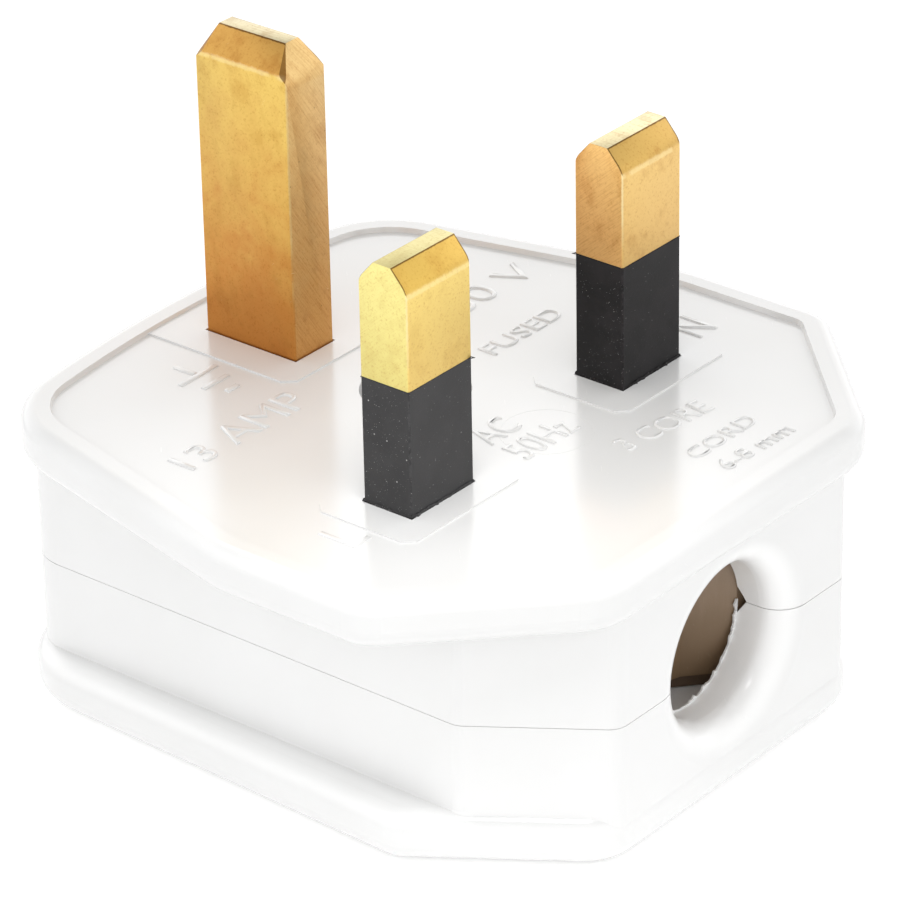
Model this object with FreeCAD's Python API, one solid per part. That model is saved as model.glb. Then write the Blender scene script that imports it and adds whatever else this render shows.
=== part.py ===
import FreeCAD
import Part
import math
import os
from FreeCAD import Vector

# A rewireable three-pin mains plug with a fuse in its live line. It lies on
# its back with the pins up: X runs from the live to the neutral pin, Y from the
# cable entry to the earth pin, and the back of the cover is at Z = 0. Pieces
# are modelled about the line through the two line pins and moved at the end,
# so that the origin is under the middle of the plug. Sizes are in millimetres.

# Pins
pin_pitch = 22.23
earth_pitch = 22.23
line_pin_width = 6.35
line_pin_thickness = 3.97
line_pin_projection = 17.5
line_tip_flat = 1.45
line_tip_height = 1.45
line_eave_round = 1.6
earth_pin_width = 7.97
earth_pin_thickness = 3.97
earth_pin_projection = 22.75
earth_tip_flat_x = 1.3
earth_tip_flat_y = 5.8
earth_tip_side_height = 1.75
earth_tip_end_height = 2.2
earth_side_eave_round = 0.5
earth_end_eave_round = 2.4
earth_hip_drop = 0.5
pin_edge = 0.1
sleeve_projection = 9.15
sleeve_wall = 0.75
slot_fit = 0.1
sleeve_fit = 0.03

# Terminals, with the blocks that hang under the floor of the base
block_width = 7.8
block_length = 7.2
block_height = 8.6
earth_block_width = 8.0
earth_block_length = 9.8
live_block_length = 5.1
wire_hole = 3.4
wire_hole_drop = 3.6
terminal_gap = 1.285
terminal_screw = 3.0
terminal_screw_reach = 4.0
terminal_head = 5.0
terminal_head_height = 1.8
thread_fit = 0.05
slot_width = 0.8
slot_depth = 0.8

# Fuse and its clips
fuse_length = 25.4
fuse_diameter = 6.35
fuse_overhang = 4.4
cap_length = 6.0
cap_wall = 0.5
cap_end = 0.6
cap_fit = 0.03
fuse_tube_wall = 0.95
fuse_wire_diameter = 0.5
fuse_gap = 0.4
clip_strip = 0.5
clip_width = 5.0
clip_fit = 0.05
clip_rise = 0.85
clip_shoulder_angle = 50.0
clip_mouth_angle = 35.0
clip_lip_radius = 0.8
clip_lip_turn = 90.0
live_head_thickness = 2.4
live_head_front = 3.0
rivet_diameter = 2.0
rivet_head = 3.0
rivet_head_height = 0.55
rivet_depth = 1.9

# Cable entry, and the cord grip with its two springy jaws
cable_hole = 11.2
cable_mouth_round = 2.2
entry_wall = 3.9
entry_lead_depth = 0.7
entry_lead_height = 1.0
entry_lead_reach = 1.0
jaw_length = 6.2
jaw_angle = 48.7
jaw_thickness = 1.3
jaw_fit = 0.1
jaw_clearance = 1.6
jaw_foot = 0.9
jaw_foot_back = 0.25
jaw_heel_length = 2.8
jaw_heel_thickness = 0.7
saddle_fit = 0.1
jaw_tooth_pitch = 0.8
jaw_tooth_depth = 0.35
jaw_teeth = 3
jaw_room = 1.33
bridge_thickness = 1.6
bridge_end = 4.2
bridge_corner = 1.2
stake_offset = 2.2
stake = 2.2
stake_fit = 0.05
stake_head = 3.4
stake_head_height = 0.6

# Moulded shells
wall = 2.0
base_floor = 3.0
cover_floor = 2.0
base_depth = 10.9
cover_depth = 10.1
end_gap = 0.2
seam = 0.06
waist_bow = 1.8
waist_chamfer_x = 5.9
waist_chamfer_y = 8.6
waist_earth_corner = 3.4
waist_chamfer_corner = 1.5
lip_height = 1.2
lip_fit = 0.1
barrier = 1.0
barrier_gap = 0.4
hold_down_rib = 1.0
hold_down_gap = 0.3
live_post = 2.0

# Plate round the pin face
plate_thickness = 3.3
plate_grip_overhang = 6.9
plate_end_overhang = 0.7
plate_flank_overhang = 1.15
plate_bow = 1.9
plate_shoulder = 5.5
plate_chamfer = 11.3
plate_earth_corner = 7.5
plate_shoulder_corner = 10.0
plate_side_corner = 3.4
plate_cable_corner = 5.0
plate_top_round = 1.0
plate_under_round = 1.5
rim_rise = 0.35
rim_width = 2.0
rim_slope = 0.12
pad_rise = 0.12
pad_reach = 5.9
line_pad_half = 4.1
earth_pad_half = 4.8
pad_cut = 0.8

# Swollen edge of the cover
skirt_height = 3.5
skirt_earth_side = 1.9
skirt_cable_side = 3.0
skirt_earth = 0.6
skirt_chamfer = 0.7
skirt_cable = 0.1
skirt_earth_corner = 7.0
skirt_side_corner = 2.2
skirt_cable_corner = 4.0
skirt_top_round = 1.3
skirt_bottom_round = 1.3

# Cover screw
screw_place = 9.4
screw_diameter = 4.0
screw_reach = 12.3
screw_hole_fit = 0.2
screw_head = 6.8
screw_head_height = 2.6
screw_head_fit = 0.4
screw_sink = 4.2
screw_slot_width = 1.0
screw_slot_depth = 1.2
boss = 9.0
washer_thickness = 0.8
washer_diameter = 8.0
nut_diameter = 6.0
nut_height = 6.5
nut_fit = 0.03
nut_hole_extra = 0.4

# Heights that follow from the stack inside the plug
parting_z = cover_depth
panel_z = parting_z + base_depth
rim_z = panel_z + rim_rise
floor_z = panel_z - base_floor
plate_z = panel_z - plate_thickness
block_z = floor_z - block_height
live_head_z = floor_z - live_head_thickness
fuse_z = live_head_z - clip_strip - clip_rise - clip_fit - fuse_diameter / 2
boss_z = parting_z + washer_thickness
jaw_z = cover_floor + jaw_clearance
bridge_z = floor_z - bridge_thickness

# Places along and across the plug, from the line through the line pins
pin_x = pin_pitch / 2
fuse_start = -fuse_overhang
fuse_end = fuse_start + fuse_length
pin_clip_y = fuse_start + cap_length / 2
terminal_clip_y = fuse_end - cap_length / 2
live_post_y = fuse_start - fuse_gap - live_post / 2
live_head_back = fuse_start - fuse_gap - live_post
live_block_y = fuse_end + fuse_gap
live_block_end = live_block_y + live_block_length
live_screw_y = live_block_y + live_block_length / 2
jaw_run = Vector(-math.sin(math.radians(jaw_angle)), math.cos(math.radians(jaw_angle)), 0)
jaw_side = Vector(jaw_run.y, -jaw_run.x, 0)
grip_back = live_head_back - jaw_room
grip_depth = jaw_length * jaw_run.y + jaw_thickness * jaw_side.y
cable_inner = grip_back - grip_depth - jaw_fit
cable_face = cable_inner - entry_wall
jaw_root = Vector(cable_hole / 2, cable_inner + jaw_fit, 0)
stake_x = jaw_root.x + stake_offset
stake_y = grip_back - grip_depth / 2
earth_block_end = earth_pitch + earth_block_length / 2
waist_half = pin_x + block_width / 2 + terminal_gap + wall
waist_earth = max(live_block_end + end_gap, earth_block_end + terminal_gap - waist_bow) + wall
clip_half = fuse_diameter / 2 + clip_fit + clip_strip
barrier_x = (pin_x - clip_half + earth_block_width / 2) / 2
plate_half = waist_half + plate_grip_overhang
plate_cable = cable_face - plate_end_overhang
plate_earth = waist_earth + plate_end_overhang
origin_y = (plate_earth + plate_bow + plate_cable) / 2

# A reach past every piece, and the closeness that counts as touching
far = 4 * plate_half
near = 1e-4


def block(x0, x1, y0, y1, z0, z1):
    """A block between two faces on each axis."""
    return Part.makeBox(x1 - x0, y1 - y0, z1 - z0, Vector(x0, y0, z0))


def rod(diameter, x, y, z0, z1):
    """An upright cylinder."""
    return Part.makeCylinder(diameter / 2, z1 - z0, Vector(x, y, z0))


def rod_along(diameter, x, z, y0, y1):
    """A cylinder that lies along the plug."""
    return Part.makeCylinder(diameter / 2, y1 - y0, Vector(x, y0, z), Vector(0, 1, 0))


def at_level(shape, z):
    """Whether an edge or face lies flat at one height."""
    return abs(shape.BoundBox.ZMin - z) < near and abs(shape.BoundBox.ZMax - z) < near


def upright(edge):
    """Whether an edge runs straight up."""
    return edge.BoundBox.XLength < near and edge.BoundBox.YLength < near


def stands_at(edge, x, y):
    """Whether an edge stands upright at a corner or at its mirror image."""
    middle = edge.CenterOfMass
    return math.hypot(abs(middle.x) - x, middle.y - y) < near


def outline(corners, bow):
    """A face from its right-hand corners, earth end first, mirrored about the middle plane.

    The edge between the two earth-end corners bows out by the given amount.
    """
    right = [Vector(x, y, 0) for x, y in corners]
    left = [Vector(-p.x, p.y, 0) for p in reversed(right)]
    loop = right + left
    edges = [Part.makeLine(a, b) for a, b in zip(loop, loop[1:])]
    apex = Vector(0, right[0].y + bow, 0)
    edges.append(Part.Arc(loop[-1], apex, loop[0]).toShape())
    return Part.Face(Part.Wire(edges))


def slab(corners, radii, bow, z0, z1):
    """An outline raised from z0 to z1, with each pair of upright edges rounded."""
    solid = outline(corners, bow).extrude(Vector(0, 0, z1 - z0))
    solid.translate(Vector(0, 0, z0))
    for (x, y), radius in zip(corners, radii):
        uprights = [e for e in solid.Edges if stands_at(e, x, y)]
        solid = solid.makeFillet(radius, uprights)
    return solid


def round_level(solid, z, radius):
    """Round every edge of a slab at one height."""
    return solid.makeFillet(radius, [e for e in solid.Edges if at_level(e, z)])


def inset(solid, z, distance):
    """The flat end of a slab at height z, with its outline moved inwards."""
    end = next(f for f in solid.Faces if at_level(f, z))
    return end.makeOffset2D(-distance)


def cable_chamfer(half_width, cable_y, outset):
    """The two corners of a cable-end chamfer that lies outside the waist's own by outset."""
    length = math.hypot(waist_chamfer_x, waist_chamfer_y)
    normal_x = waist_chamfer_y / length
    normal_y = -waist_chamfer_x / length
    start_y = cable_face + waist_chamfer_y
    reach = normal_x * waist_half + normal_y * start_y + outset
    side = (half_width, (reach - normal_x * half_width) / normal_y)
    end = ((reach - normal_y * cable_y) / normal_x, cable_y)
    return [side, end]


def waist(z0, z1):
    """The narrow middle of the plug that both shells share."""
    corners = [(waist_half, waist_earth)] + cable_chamfer(waist_half, cable_face, 0)
    radii = [waist_earth_corner, waist_chamfer_corner, waist_chamfer_corner]
    return slab(corners, radii, waist_bow, z0, z1)


def cavity(z0, z1):
    """The room inside the walls, stopped short of the thick wall at the cable entry."""
    room = inset(waist(z0, z1), z0, wall).extrude(Vector(0, 0, z1 - z0))
    return room.common(block(-far, far, cable_inner, far, z0, z1))


def lip_ring(outer, z0, z1, back):
    """The inner half of the wall along the sides and the earth end, as far back as given."""
    shape = waist(z0, z1)
    ring = inset(shape, z0, outer).extrude(Vector(0, 0, z1 - z0))
    ring = ring.cut(inset(shape, z0, wall).extrude(Vector(0, 0, z1 - z0)))
    return ring.common(block(-far, far, back, far, z0, z1))


def cable_tunnel():
    """The round way through the cable-end wall, half of it in each shell."""
    return rod_along(cable_hole, 0, parting_z, cable_face - wall, cable_inner + wall)


def entry_lead():
    """The bevelled notches inside the cable-end wall, beside the tunnel, where the shells part."""
    half_x = cable_hole / 2 + entry_lead_reach
    points = [
        Vector(-half_x, cable_inner - entry_lead_depth, parting_z),
        Vector(-half_x, cable_inner, parting_z + entry_lead_height),
        Vector(-half_x, cable_inner, parting_z - entry_lead_height),
    ]
    return Part.Face(Part.makePolygon(points + points[:1])).extrude(Vector(2 * half_x, 0, 0))


def round_mouth(shell):
    """Round a shell's half of the edge where the cable goes in."""
    mouth = [
        e for e in shell.Edges
        if abs(e.BoundBox.YMin - cable_face) < near and abs(e.BoundBox.YMax - cable_face) < near
        and hasattr(e.Curve, "Radius")
    ]
    return shell.makeFillet(cable_mouth_round, mouth)


def pin_slots():
    """The ways through the floor of the base for the three pins."""
    half_width = line_pin_width / 2 + slot_fit
    half_thickness = line_pin_thickness / 2 + slot_fit
    slots = [
        block(x - half_width, x + half_width, -half_thickness, half_thickness, floor_z, rim_z)
        for x in (-pin_x, pin_x)
    ]
    half_width = earth_pin_width / 2 + slot_fit
    half_thickness = earth_pin_thickness / 2 + slot_fit
    y0 = earth_pitch - half_width
    y1 = earth_pitch + half_width
    slots.append(block(-half_thickness, half_thickness, y0, y1, floor_z, rim_z))
    return slots


def pin_pads():
    """The faintly raised panels that the pins stand on."""
    z1 = panel_z + pad_rise
    pads = [
        block(x - pad_reach, x + pad_reach, -line_pad_half, line_pad_half, floor_z, z1)
        for x in (-pin_x, pin_x)
    ]
    pads.append(block(-earth_pad_half, earth_pad_half, earth_pitch - pad_reach, far, floor_z, z1))
    return [pad.makeChamfer(pad_cut, [e for e in pad.Edges if upright(e)]) for pad in pads]


def plate():
    """The plate round the pin face, with its raised rim, the sunk panel and the pads."""
    corners = [
        (waist_half + plate_flank_overhang, plate_earth),
        (plate_half, plate_shoulder),
        (plate_half, plate_cable + plate_chamfer),
        (plate_half - plate_chamfer, plate_cable),
    ]
    radii = [
        plate_earth_corner,
        plate_shoulder_corner,
        plate_side_corner,
        plate_cable_corner,
    ]
    blank = slab(corners, radii, plate_bow, plate_z, rim_z)
    foot = inset(blank, rim_z, rim_width + rim_slope).OuterWire
    foot.translate(Vector(0, 0, -rim_rise))
    brow = inset(blank, rim_z, rim_width).OuterWire
    panel = Part.makeLoft([foot, brow], True)
    solid = round_level(blank, rim_z, plate_top_round)
    solid = round_level(solid, plate_z, plate_under_round)
    for pad in pin_pads():
        panel = panel.cut(pad)
    return solid.cut(panel)


def stakes():
    """The two pegs of the base, with melted heads, that hold the cord grip to its floor."""
    head_top = bridge_z - stake_fit
    pegs = []
    for x in (-stake_x, stake_x):
        pegs.append(rod(stake, x, stake_y, head_top, floor_z))
        pegs.append(rod(stake_head, x, stake_y, head_top - stake_head_height, head_top))
    return pegs


def barriers():
    """The walls that part the fuse and the wire room from the earth terminal."""
    y0 = screw_place
    y1 = live_block_y - barrier_gap
    z0 = parting_z + barrier_gap
    return [
        block(x - barrier / 2, x + barrier / 2, y0, y1, z0, floor_z)
        for x in (-barrier_x, barrier_x)
    ]


def make_base():
    """The moulded half that carries the pins."""
    body = plate().fuse(waist(parting_z, plate_z + plate_under_round))
    body = body.cut(cavity(parting_z, floor_z))
    rebate_top = parting_z + lip_height + lip_fit
    back = cable_face + waist_chamfer_y - lip_fit
    body = body.cut(lip_ring(wall / 2, parting_z, rebate_top, back))
    screw_boss = rod(boss, 0, screw_place, boss_z, floor_z)
    body = body.fuse(stakes() + barriers() + [screw_boss])
    seat_z = panel_z - screw_sink
    recess = rod(screw_head + 2 * screw_head_fit, 0, screw_place, seat_z, rim_z)
    way = rod(screw_diameter + 2 * screw_hole_fit, 0, screw_place, parting_z, rim_z)
    body = body.cut(pin_slots() + [recess, way, cable_tunnel(), entry_lead()])
    return round_mouth(body.removeSplitter())


def skirt():
    """The swollen lower edge of the cover."""
    corners = [(waist_half + skirt_earth_side, waist_earth + skirt_earth)]
    corners += cable_chamfer(waist_half + skirt_cable_side, cable_face - skirt_cable, skirt_chamfer)
    radii = [skirt_earth_corner, skirt_side_corner, skirt_cable_corner]
    solid = slab(corners, radii, waist_bow, 0, skirt_height)
    solid = round_level(solid, skirt_height, skirt_top_round)
    return round_level(solid, 0, skirt_bottom_round)


def hold_downs():
    """The ribs of the cover that stand under the terminal blocks, and the post under the live pin."""
    ribs = []
    seats = [
        (pin_x, block_width, -block_length / 2, block_length / 2),
        (0, earth_block_width, earth_pitch - earth_block_length / 2, earth_block_end),
        (-pin_x, block_width, live_block_y, live_block_end),
    ]
    for x, width, y0, y1 in seats:
        for side in (-1, 1):
            middle = x + side * (width - hold_down_rib) / 2
            x0 = middle - hold_down_rib / 2
            x1 = middle + hold_down_rib / 2
            ribs.append(block(x0, x1, y0, y1, cover_floor, block_z - hold_down_gap))
    ribs.append(rod(live_post, -pin_x, live_post_y, cover_floor, live_head_z - hold_down_gap))
    return ribs


def cord_saddle():
    """The block of the cover that fills the room under the jaws."""
    half_x = jaw_root.x + bridge_end
    return block(-half_x, half_x, cable_inner, grip_back, cover_floor, jaw_z - saddle_fit)


def make_cover():
    """The moulded back of the plug."""
    top = parting_z - seam
    body = skirt().fuse(waist(skirt_bottom_round, top))
    body = body.cut(cavity(cover_floor, top))
    back = cable_face + waist_chamfer_y
    body = body.fuse(lip_ring(wall / 2 + lip_fit, top - seam, parting_z + lip_height, back))
    screw_boss = rod(boss, 0, screw_place, cover_floor, parting_z)
    body = body.fuse(hold_downs() + [screw_boss, cord_saddle()])
    hole_z = parting_z - nut_height - nut_hole_extra
    nut_hole = rod(nut_diameter + 2 * nut_fit, 0, screw_place, hole_z, parting_z)
    return round_mouth(body.cut([nut_hole, cable_tunnel(), entry_lead()]).removeSplitter())


def polar(centre, radius, degrees):
    """A point on a circle in the XZ plane."""
    angle = math.radians(degrees)
    return centre + Vector(radius * math.cos(angle), 0, radius * math.sin(angle))


def arc(centre, radius, start, end):
    """An arc in the XZ plane between two angles in degrees."""
    points = [polar(centre, radius, angle) for angle in (start, (start + end) / 2, end)]
    return Part.Arc(*points).toShape()


def roof(half, flat_half, height, eave_round, z1, across):
    """A long house-shaped block with rounded eaves, whose slopes cut a pin's tip across one axis."""
    pitch = math.degrees(math.atan2(half - flat_half, height))
    tangent = eave_round * math.tan(math.radians(pitch / 2))
    eave = Vector(half - eave_round, 0, z1 - height - tangent)
    edges = [
        Part.makeLine(Vector(0, 0, 0), Vector(half, 0, 0)),
        Part.makeLine(Vector(half, 0, 0), polar(eave, eave_round, 0)),
        arc(eave, eave_round, 0, pitch),
        Part.makeLine(polar(eave, eave_round, pitch), Vector(flat_half, 0, z1)),
        Part.makeLine(Vector(flat_half, 0, z1), Vector(0, 0, z1)),
        Part.makeLine(Vector(0, 0, z1), Vector(0, 0, 0)),
    ]
    side = Part.Face(Part.Wire(edges)).extrude(Vector(0, 2 * far, 0))
    side.translate(Vector(0, -far, 0))
    house = side.fuse(side.mirror(Vector(0, 0, 0), Vector(1, 0, 0))).removeSplitter()
    if across == "y":
        house.rotate(Vector(0, 0, 0), Vector(0, 0, 1), 90)
    return house


def hip_cuts(tip):
    """The four half-spaces that take the corners off the earth pin's tip, between its slopes."""
    top = Vector(earth_tip_flat_x / 2, earth_tip_flat_y / 2, tip)
    foot_z = tip - earth_tip_side_height - earth_hip_drop
    foot = Vector(earth_pin_thickness / 2, earth_pin_width / 2, foot_z)
    level = Vector(foot.y - top.y, top.x - foot.x, 0)
    outward = level.cross(foot - top)
    corner = Part.makeBox(far, far, far, Vector(-far / 2, -far / 2, 0))
    corner.Placement = FreeCAD.Placement(top, FreeCAD.Rotation(Vector(0, 0, 1), outward))
    pair = [corner, corner.mirror(Vector(0, 0, 0), Vector(1, 0, 0))]
    return pair + [cut.mirror(Vector(0, 0, 0), Vector(0, 1, 0)) for cut in pair]


def blade(size_x, size_y, z0, z1):
    """An upright bar with softened upright edges."""
    bar = block(-size_x / 2, size_x / 2, -size_y / 2, size_y / 2, z0, z1)
    return bar.makeChamfer(pin_edge, [e for e in bar.Edges if upright(e)])


def line_blade():
    """A line pin above the floor: a thin core inside the sleeve and a full tip above it."""
    shoulder = panel_z + sleeve_projection
    tip = panel_z + line_pin_projection
    core_x = line_pin_width / 2 - sleeve_wall - sleeve_fit
    core_y = line_pin_thickness / 2 - sleeve_wall - sleeve_fit
    core = block(-core_x, core_x, -core_y, core_y, floor_z, shoulder)
    head = blade(line_pin_width, line_pin_thickness, shoulder, tip)
    slopes = roof(line_pin_thickness / 2, line_tip_flat / 2, line_tip_height, line_eave_round, tip, "y")
    return core.fuse(head.common(slopes))


def make_sleeve(x):
    """The insulating sleeve of a line pin, flush with the brass above it."""
    z1 = panel_z + sleeve_projection
    shell = blade(line_pin_width, line_pin_thickness, floor_z, z1)
    inner_x = line_pin_width / 2 - sleeve_wall
    inner_y = line_pin_thickness / 2 - sleeve_wall
    shell = shell.cut(block(-inner_x, inner_x, -inner_y, inner_y, floor_z, z1))
    shell.translate(Vector(x, 0, 0))
    return shell


def terminal_holes(x, y, wire_axis):
    """The way for the wire through a terminal block, and the threaded hole of its clamp screw."""
    wire_z = floor_z - wire_hole_drop
    start = Vector(x, y, wire_z) - wire_axis * far
    wire_way = Part.makeCylinder(wire_hole / 2, 2 * far, start, wire_axis)
    return [wire_way, rod(terminal_screw + 2 * thread_fit, x, y, block_z, wire_z)]


def make_neutral_pin():
    """The neutral pin and its terminal block, in one piece."""
    half = block_width / 2
    body = block(-half, half, -block_length / 2, block_length / 2, block_z, floor_z)
    body = body.cut(terminal_holes(0, 0, Vector(0, 1, 0)))
    body = body.fuse(line_blade()).removeSplitter()
    body.translate(Vector(pin_x, 0, 0))
    return body


def make_live_pin():
    """The live pin and the flat head that carries its fuse clip."""
    half = block_width / 2
    head = block(-half, half, live_head_back, live_head_front, live_head_z, floor_z)
    head = head.cut(rivet_hole(0, pin_clip_y))
    body = head.fuse(line_blade()).removeSplitter()
    body.translate(Vector(-pin_x, 0, 0))
    return body


def make_earth_pin():
    """The long earth pin and its terminal block, in one piece."""
    tip = panel_z + earth_pin_projection
    bar = blade(earth_pin_thickness, earth_pin_width, floor_z, tip)
    sides = roof(earth_pin_thickness / 2, earth_tip_flat_x / 2, earth_tip_side_height,
                 earth_side_eave_round, tip, "x")
    ends = roof(earth_pin_width / 2, earth_tip_flat_y / 2, earth_tip_end_height,
                earth_end_eave_round, tip, "y")
    bar = bar.common(sides).common(ends).cut(hip_cuts(tip))
    half_x = earth_block_width / 2
    half_y = earth_block_length / 2
    body = block(-half_x, half_x, -half_y, half_y, block_z, floor_z)
    body = body.cut(terminal_holes(0, 0, Vector(0, 1, 0)))
    body = body.fuse(bar).removeSplitter()
    body.translate(Vector(0, earth_pitch, 0))
    return body


def make_live_terminal():
    """The live wire's pillar, and the ledge over the fuse that carries the second clip."""
    half = block_width / 2
    pillar = block(-half, half, live_block_y, live_block_end, block_z, floor_z)
    pillar = pillar.cut(terminal_holes(0, live_screw_y, Vector(1, 0, 0)))
    ledge_y = fuse_end - cap_length - fuse_gap
    ledge = block(-half, half, ledge_y, live_block_y, live_head_z, floor_z)
    ledge = ledge.cut(rivet_hole(0, terminal_clip_y))
    body = pillar.fuse(ledge).removeSplitter()
    body.translate(Vector(-pin_x, 0, 0))
    return body


def rivet_hole(x, y):
    """The blind hole that a clip's rivet is set in."""
    return rod(rivet_diameter + 2 * thread_fit, x, y, live_head_z, live_head_z + rivet_depth)


def make_clip(y):
    """A sprung clip of bent strip, open downwards, that grips one cap of the fuse."""
    axis = Vector(0, 0, 0)
    inner = fuse_diameter / 2 + clip_fit
    outer = inner + clip_strip
    inner_x = inner * math.cos(math.radians(clip_shoulder_angle))
    outer_x = inner_x + clip_strip
    outer_angle = math.degrees(math.acos(outer_x / outer))
    roof_z = inner + clip_rise
    top_z = roof_z + clip_strip
    mouth = -clip_mouth_angle
    lip = polar(axis, outer + clip_lip_radius, mouth)
    lip_start = 180 + mouth
    lip_end = lip_start + clip_lip_turn
    lip_outer = clip_lip_radius + clip_strip
    edges = [
        Part.makeLine(Vector(0, 0, roof_z), Vector(inner_x, 0, roof_z)),
        Part.makeLine(Vector(inner_x, 0, roof_z), polar(axis, inner, clip_shoulder_angle)),
        arc(axis, inner, clip_shoulder_angle, mouth),
        arc(lip, lip_outer, lip_start, lip_end),
        Part.makeLine(polar(lip, lip_outer, lip_end), polar(lip, clip_lip_radius, lip_end)),
        arc(lip, clip_lip_radius, lip_end, lip_start),
        arc(axis, outer, mouth, outer_angle),
        Part.makeLine(polar(axis, outer, outer_angle), Vector(outer_x, 0, top_z)),
        Part.makeLine(Vector(outer_x, 0, top_z), Vector(0, 0, top_z)),
        Part.makeLine(Vector(0, 0, top_z), Vector(0, 0, roof_z)),
    ]
    half = Part.Face(Part.Wire(edges)).extrude(Vector(0, clip_width, 0))
    clip = half.fuse(half.mirror(Vector(0, 0, 0), Vector(1, 0, 0))).removeSplitter()
    clip = clip.cut(rod(rivet_diameter + 2 * thread_fit, 0, clip_width / 2, 0, top_z))
    clip.translate(Vector(-pin_x, y - clip_width / 2, fuse_z))
    return clip


def make_rivet(y):
    """A rivet through the roof of a clip, with a bevelled head inside the clip."""
    seat = live_head_z - clip_strip
    head = rod(rivet_head, -pin_x, y, seat - rivet_head_height, seat)
    rim = [e for e in head.Edges if at_level(e, seat - rivet_head_height)]
    head = head.makeChamfer(rivet_head_height / 2, rim)
    return head.fuse(rod(rivet_diameter, -pin_x, y, seat, live_head_z + rivet_depth)).removeSplitter()


def make_fuse_tube():
    """The ceramic barrel of the fuse."""
    outer = fuse_diameter - 2 * cap_wall - 2 * cap_fit
    y0 = fuse_start + cap_end
    y1 = fuse_end - cap_end
    tube = rod_along(outer, -pin_x, fuse_z, y0, y1)
    return tube.cut(rod_along(outer - 2 * fuse_tube_wall, -pin_x, fuse_z, y0, y1))


def make_fuse_cap(end, inward):
    """One metal cap of the fuse, closed at its outer end."""
    y0, y1 = sorted((end, end + inward * cap_length))
    cap = rod_along(fuse_diameter, -pin_x, fuse_z, y0, y1)
    y0, y1 = sorted((end + inward * cap_end, end + inward * cap_length))
    return cap.cut(rod_along(fuse_diameter - 2 * cap_wall, -pin_x, fuse_z, y0, y1))


def make_fuse_wire():
    """The wire of the fuse, between the insides of its caps."""
    y0 = fuse_start + cap_end
    y1 = fuse_end - cap_end
    return rod_along(fuse_wire_diameter, -pin_x, fuse_z, y0, y1)


def slotted_screw(x, y, seat, head, head_height, shank, reach, way, slot):
    """A cheese-head screw whose head bears on seat; way is 1 where it is driven upwards."""
    far_side = seat - way * head_height
    z0, z1 = sorted((seat, far_side))
    body = rod(head, x, y, z0, z1)
    z0, z1 = sorted((seat, seat + way * reach))
    body = body.fuse(rod(shank, x, y, z0, z1))
    width, depth = slot
    z0, z1 = sorted((far_side, far_side + way * depth))
    return body.cut(block(x - head, x + head, y - width / 2, y + width / 2, z0, z1)).removeSplitter()


def make_terminal_screws():
    """The three clamp screws of the terminals, driven from the cover's side."""
    places = [(pin_x, 0), (0, earth_pitch), (-pin_x, live_screw_y)]
    slot = (slot_width, slot_depth)
    return Part.makeCompound([
        slotted_screw(x, y, block_z, terminal_head, terminal_head_height,
                      terminal_screw, terminal_screw_reach, 1, slot)
        for x, y in places
    ])


def jaw_point(along, out):
    """A point of the neutral-side jaw, from its root along the jaw and out from the cord."""
    return jaw_root + jaw_run * along + jaw_side * out


def make_jaw():
    """The neutral-side jaw: a heel beside the tunnel, and a leaf that leans in towards the cord.

    The leaf is toothed near its end and set back at its foot.
    """
    section = [jaw_point(0, jaw_thickness), jaw_point(0, 0)]
    teeth_start = jaw_length - jaw_teeth * jaw_tooth_pitch
    for i in range(jaw_teeth):
        foot = teeth_start + i * jaw_tooth_pitch
        section.append(jaw_point(foot, 0))
        section.append(jaw_point(foot + jaw_tooth_pitch, -jaw_tooth_depth))
    section.append(jaw_point(jaw_length, 0))
    section.append(jaw_point(jaw_length, jaw_thickness))
    leaf = Part.Face(Part.makePolygon(section + section[:1])).extrude(Vector(0, 0, floor_z - jaw_z))
    rebate = [
        jaw_point(-jaw_thickness, -jaw_thickness),
        jaw_point(-jaw_thickness, jaw_foot_back),
        jaw_point(jaw_length + jaw_thickness, jaw_foot_back),
        jaw_point(jaw_length + jaw_thickness, -jaw_thickness),
    ]
    leaf = leaf.cut(Part.Face(Part.makePolygon(rebate + rebate[:1])).extrude(Vector(0, 0, jaw_foot)))
    leaf.translate(Vector(0, 0, jaw_z))
    heel_x = jaw_root.x + jaw_heel_length
    heel_y = jaw_root.y + jaw_heel_thickness
    return leaf.fuse(block(jaw_root.x, heel_x, jaw_root.y, heel_y, jaw_z, floor_z))


def make_cord_grip():
    """The cord grip, moulded in one: two leaning jaws under a bridge that is staked to the base."""
    half_x = jaw_root.x + bridge_end
    bridge = block(-half_x, half_x, jaw_root.y, grip_back, bridge_z, floor_z)
    bridge = bridge.makeFillet(bridge_corner, [e for e in bridge.Edges if upright(e)])
    jaw = make_jaw()
    body = bridge.fuse([jaw, jaw.mirror(Vector(0, 0, 0), Vector(1, 0, 0))])
    hole = stake + 2 * stake_fit
    ways = [rod(hole, x, stake_y, bridge_z, floor_z) for x in (-stake_x, stake_x)]
    return body.cut(ways).removeSplitter()


def make_cover_screw():
    """The screw that closes the plug, sunk below the pin face."""
    slot = (screw_slot_width, screw_slot_depth)
    seat = panel_z - screw_sink
    return slotted_screw(0, screw_place, seat, screw_head, screw_head_height,
                         screw_diameter, screw_reach, -1, slot)


def make_washer():
    """The fibre washer that keeps the cover screw in the base."""
    ring = rod(washer_diameter, 0, screw_place, parting_z, boss_z)
    return ring.cut(rod(screw_diameter + 2 * thread_fit, 0, screw_place, parting_z, boss_z))


def make_nut():
    """The brass insert of the cover, flush with the top of its boss."""
    z0 = parting_z - nut_height
    nut = rod(nut_diameter, 0, screw_place, z0, parting_z)
    return nut.cut(rod(screw_diameter + 2 * thread_fit, 0, screw_place, z0, parting_z))


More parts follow.
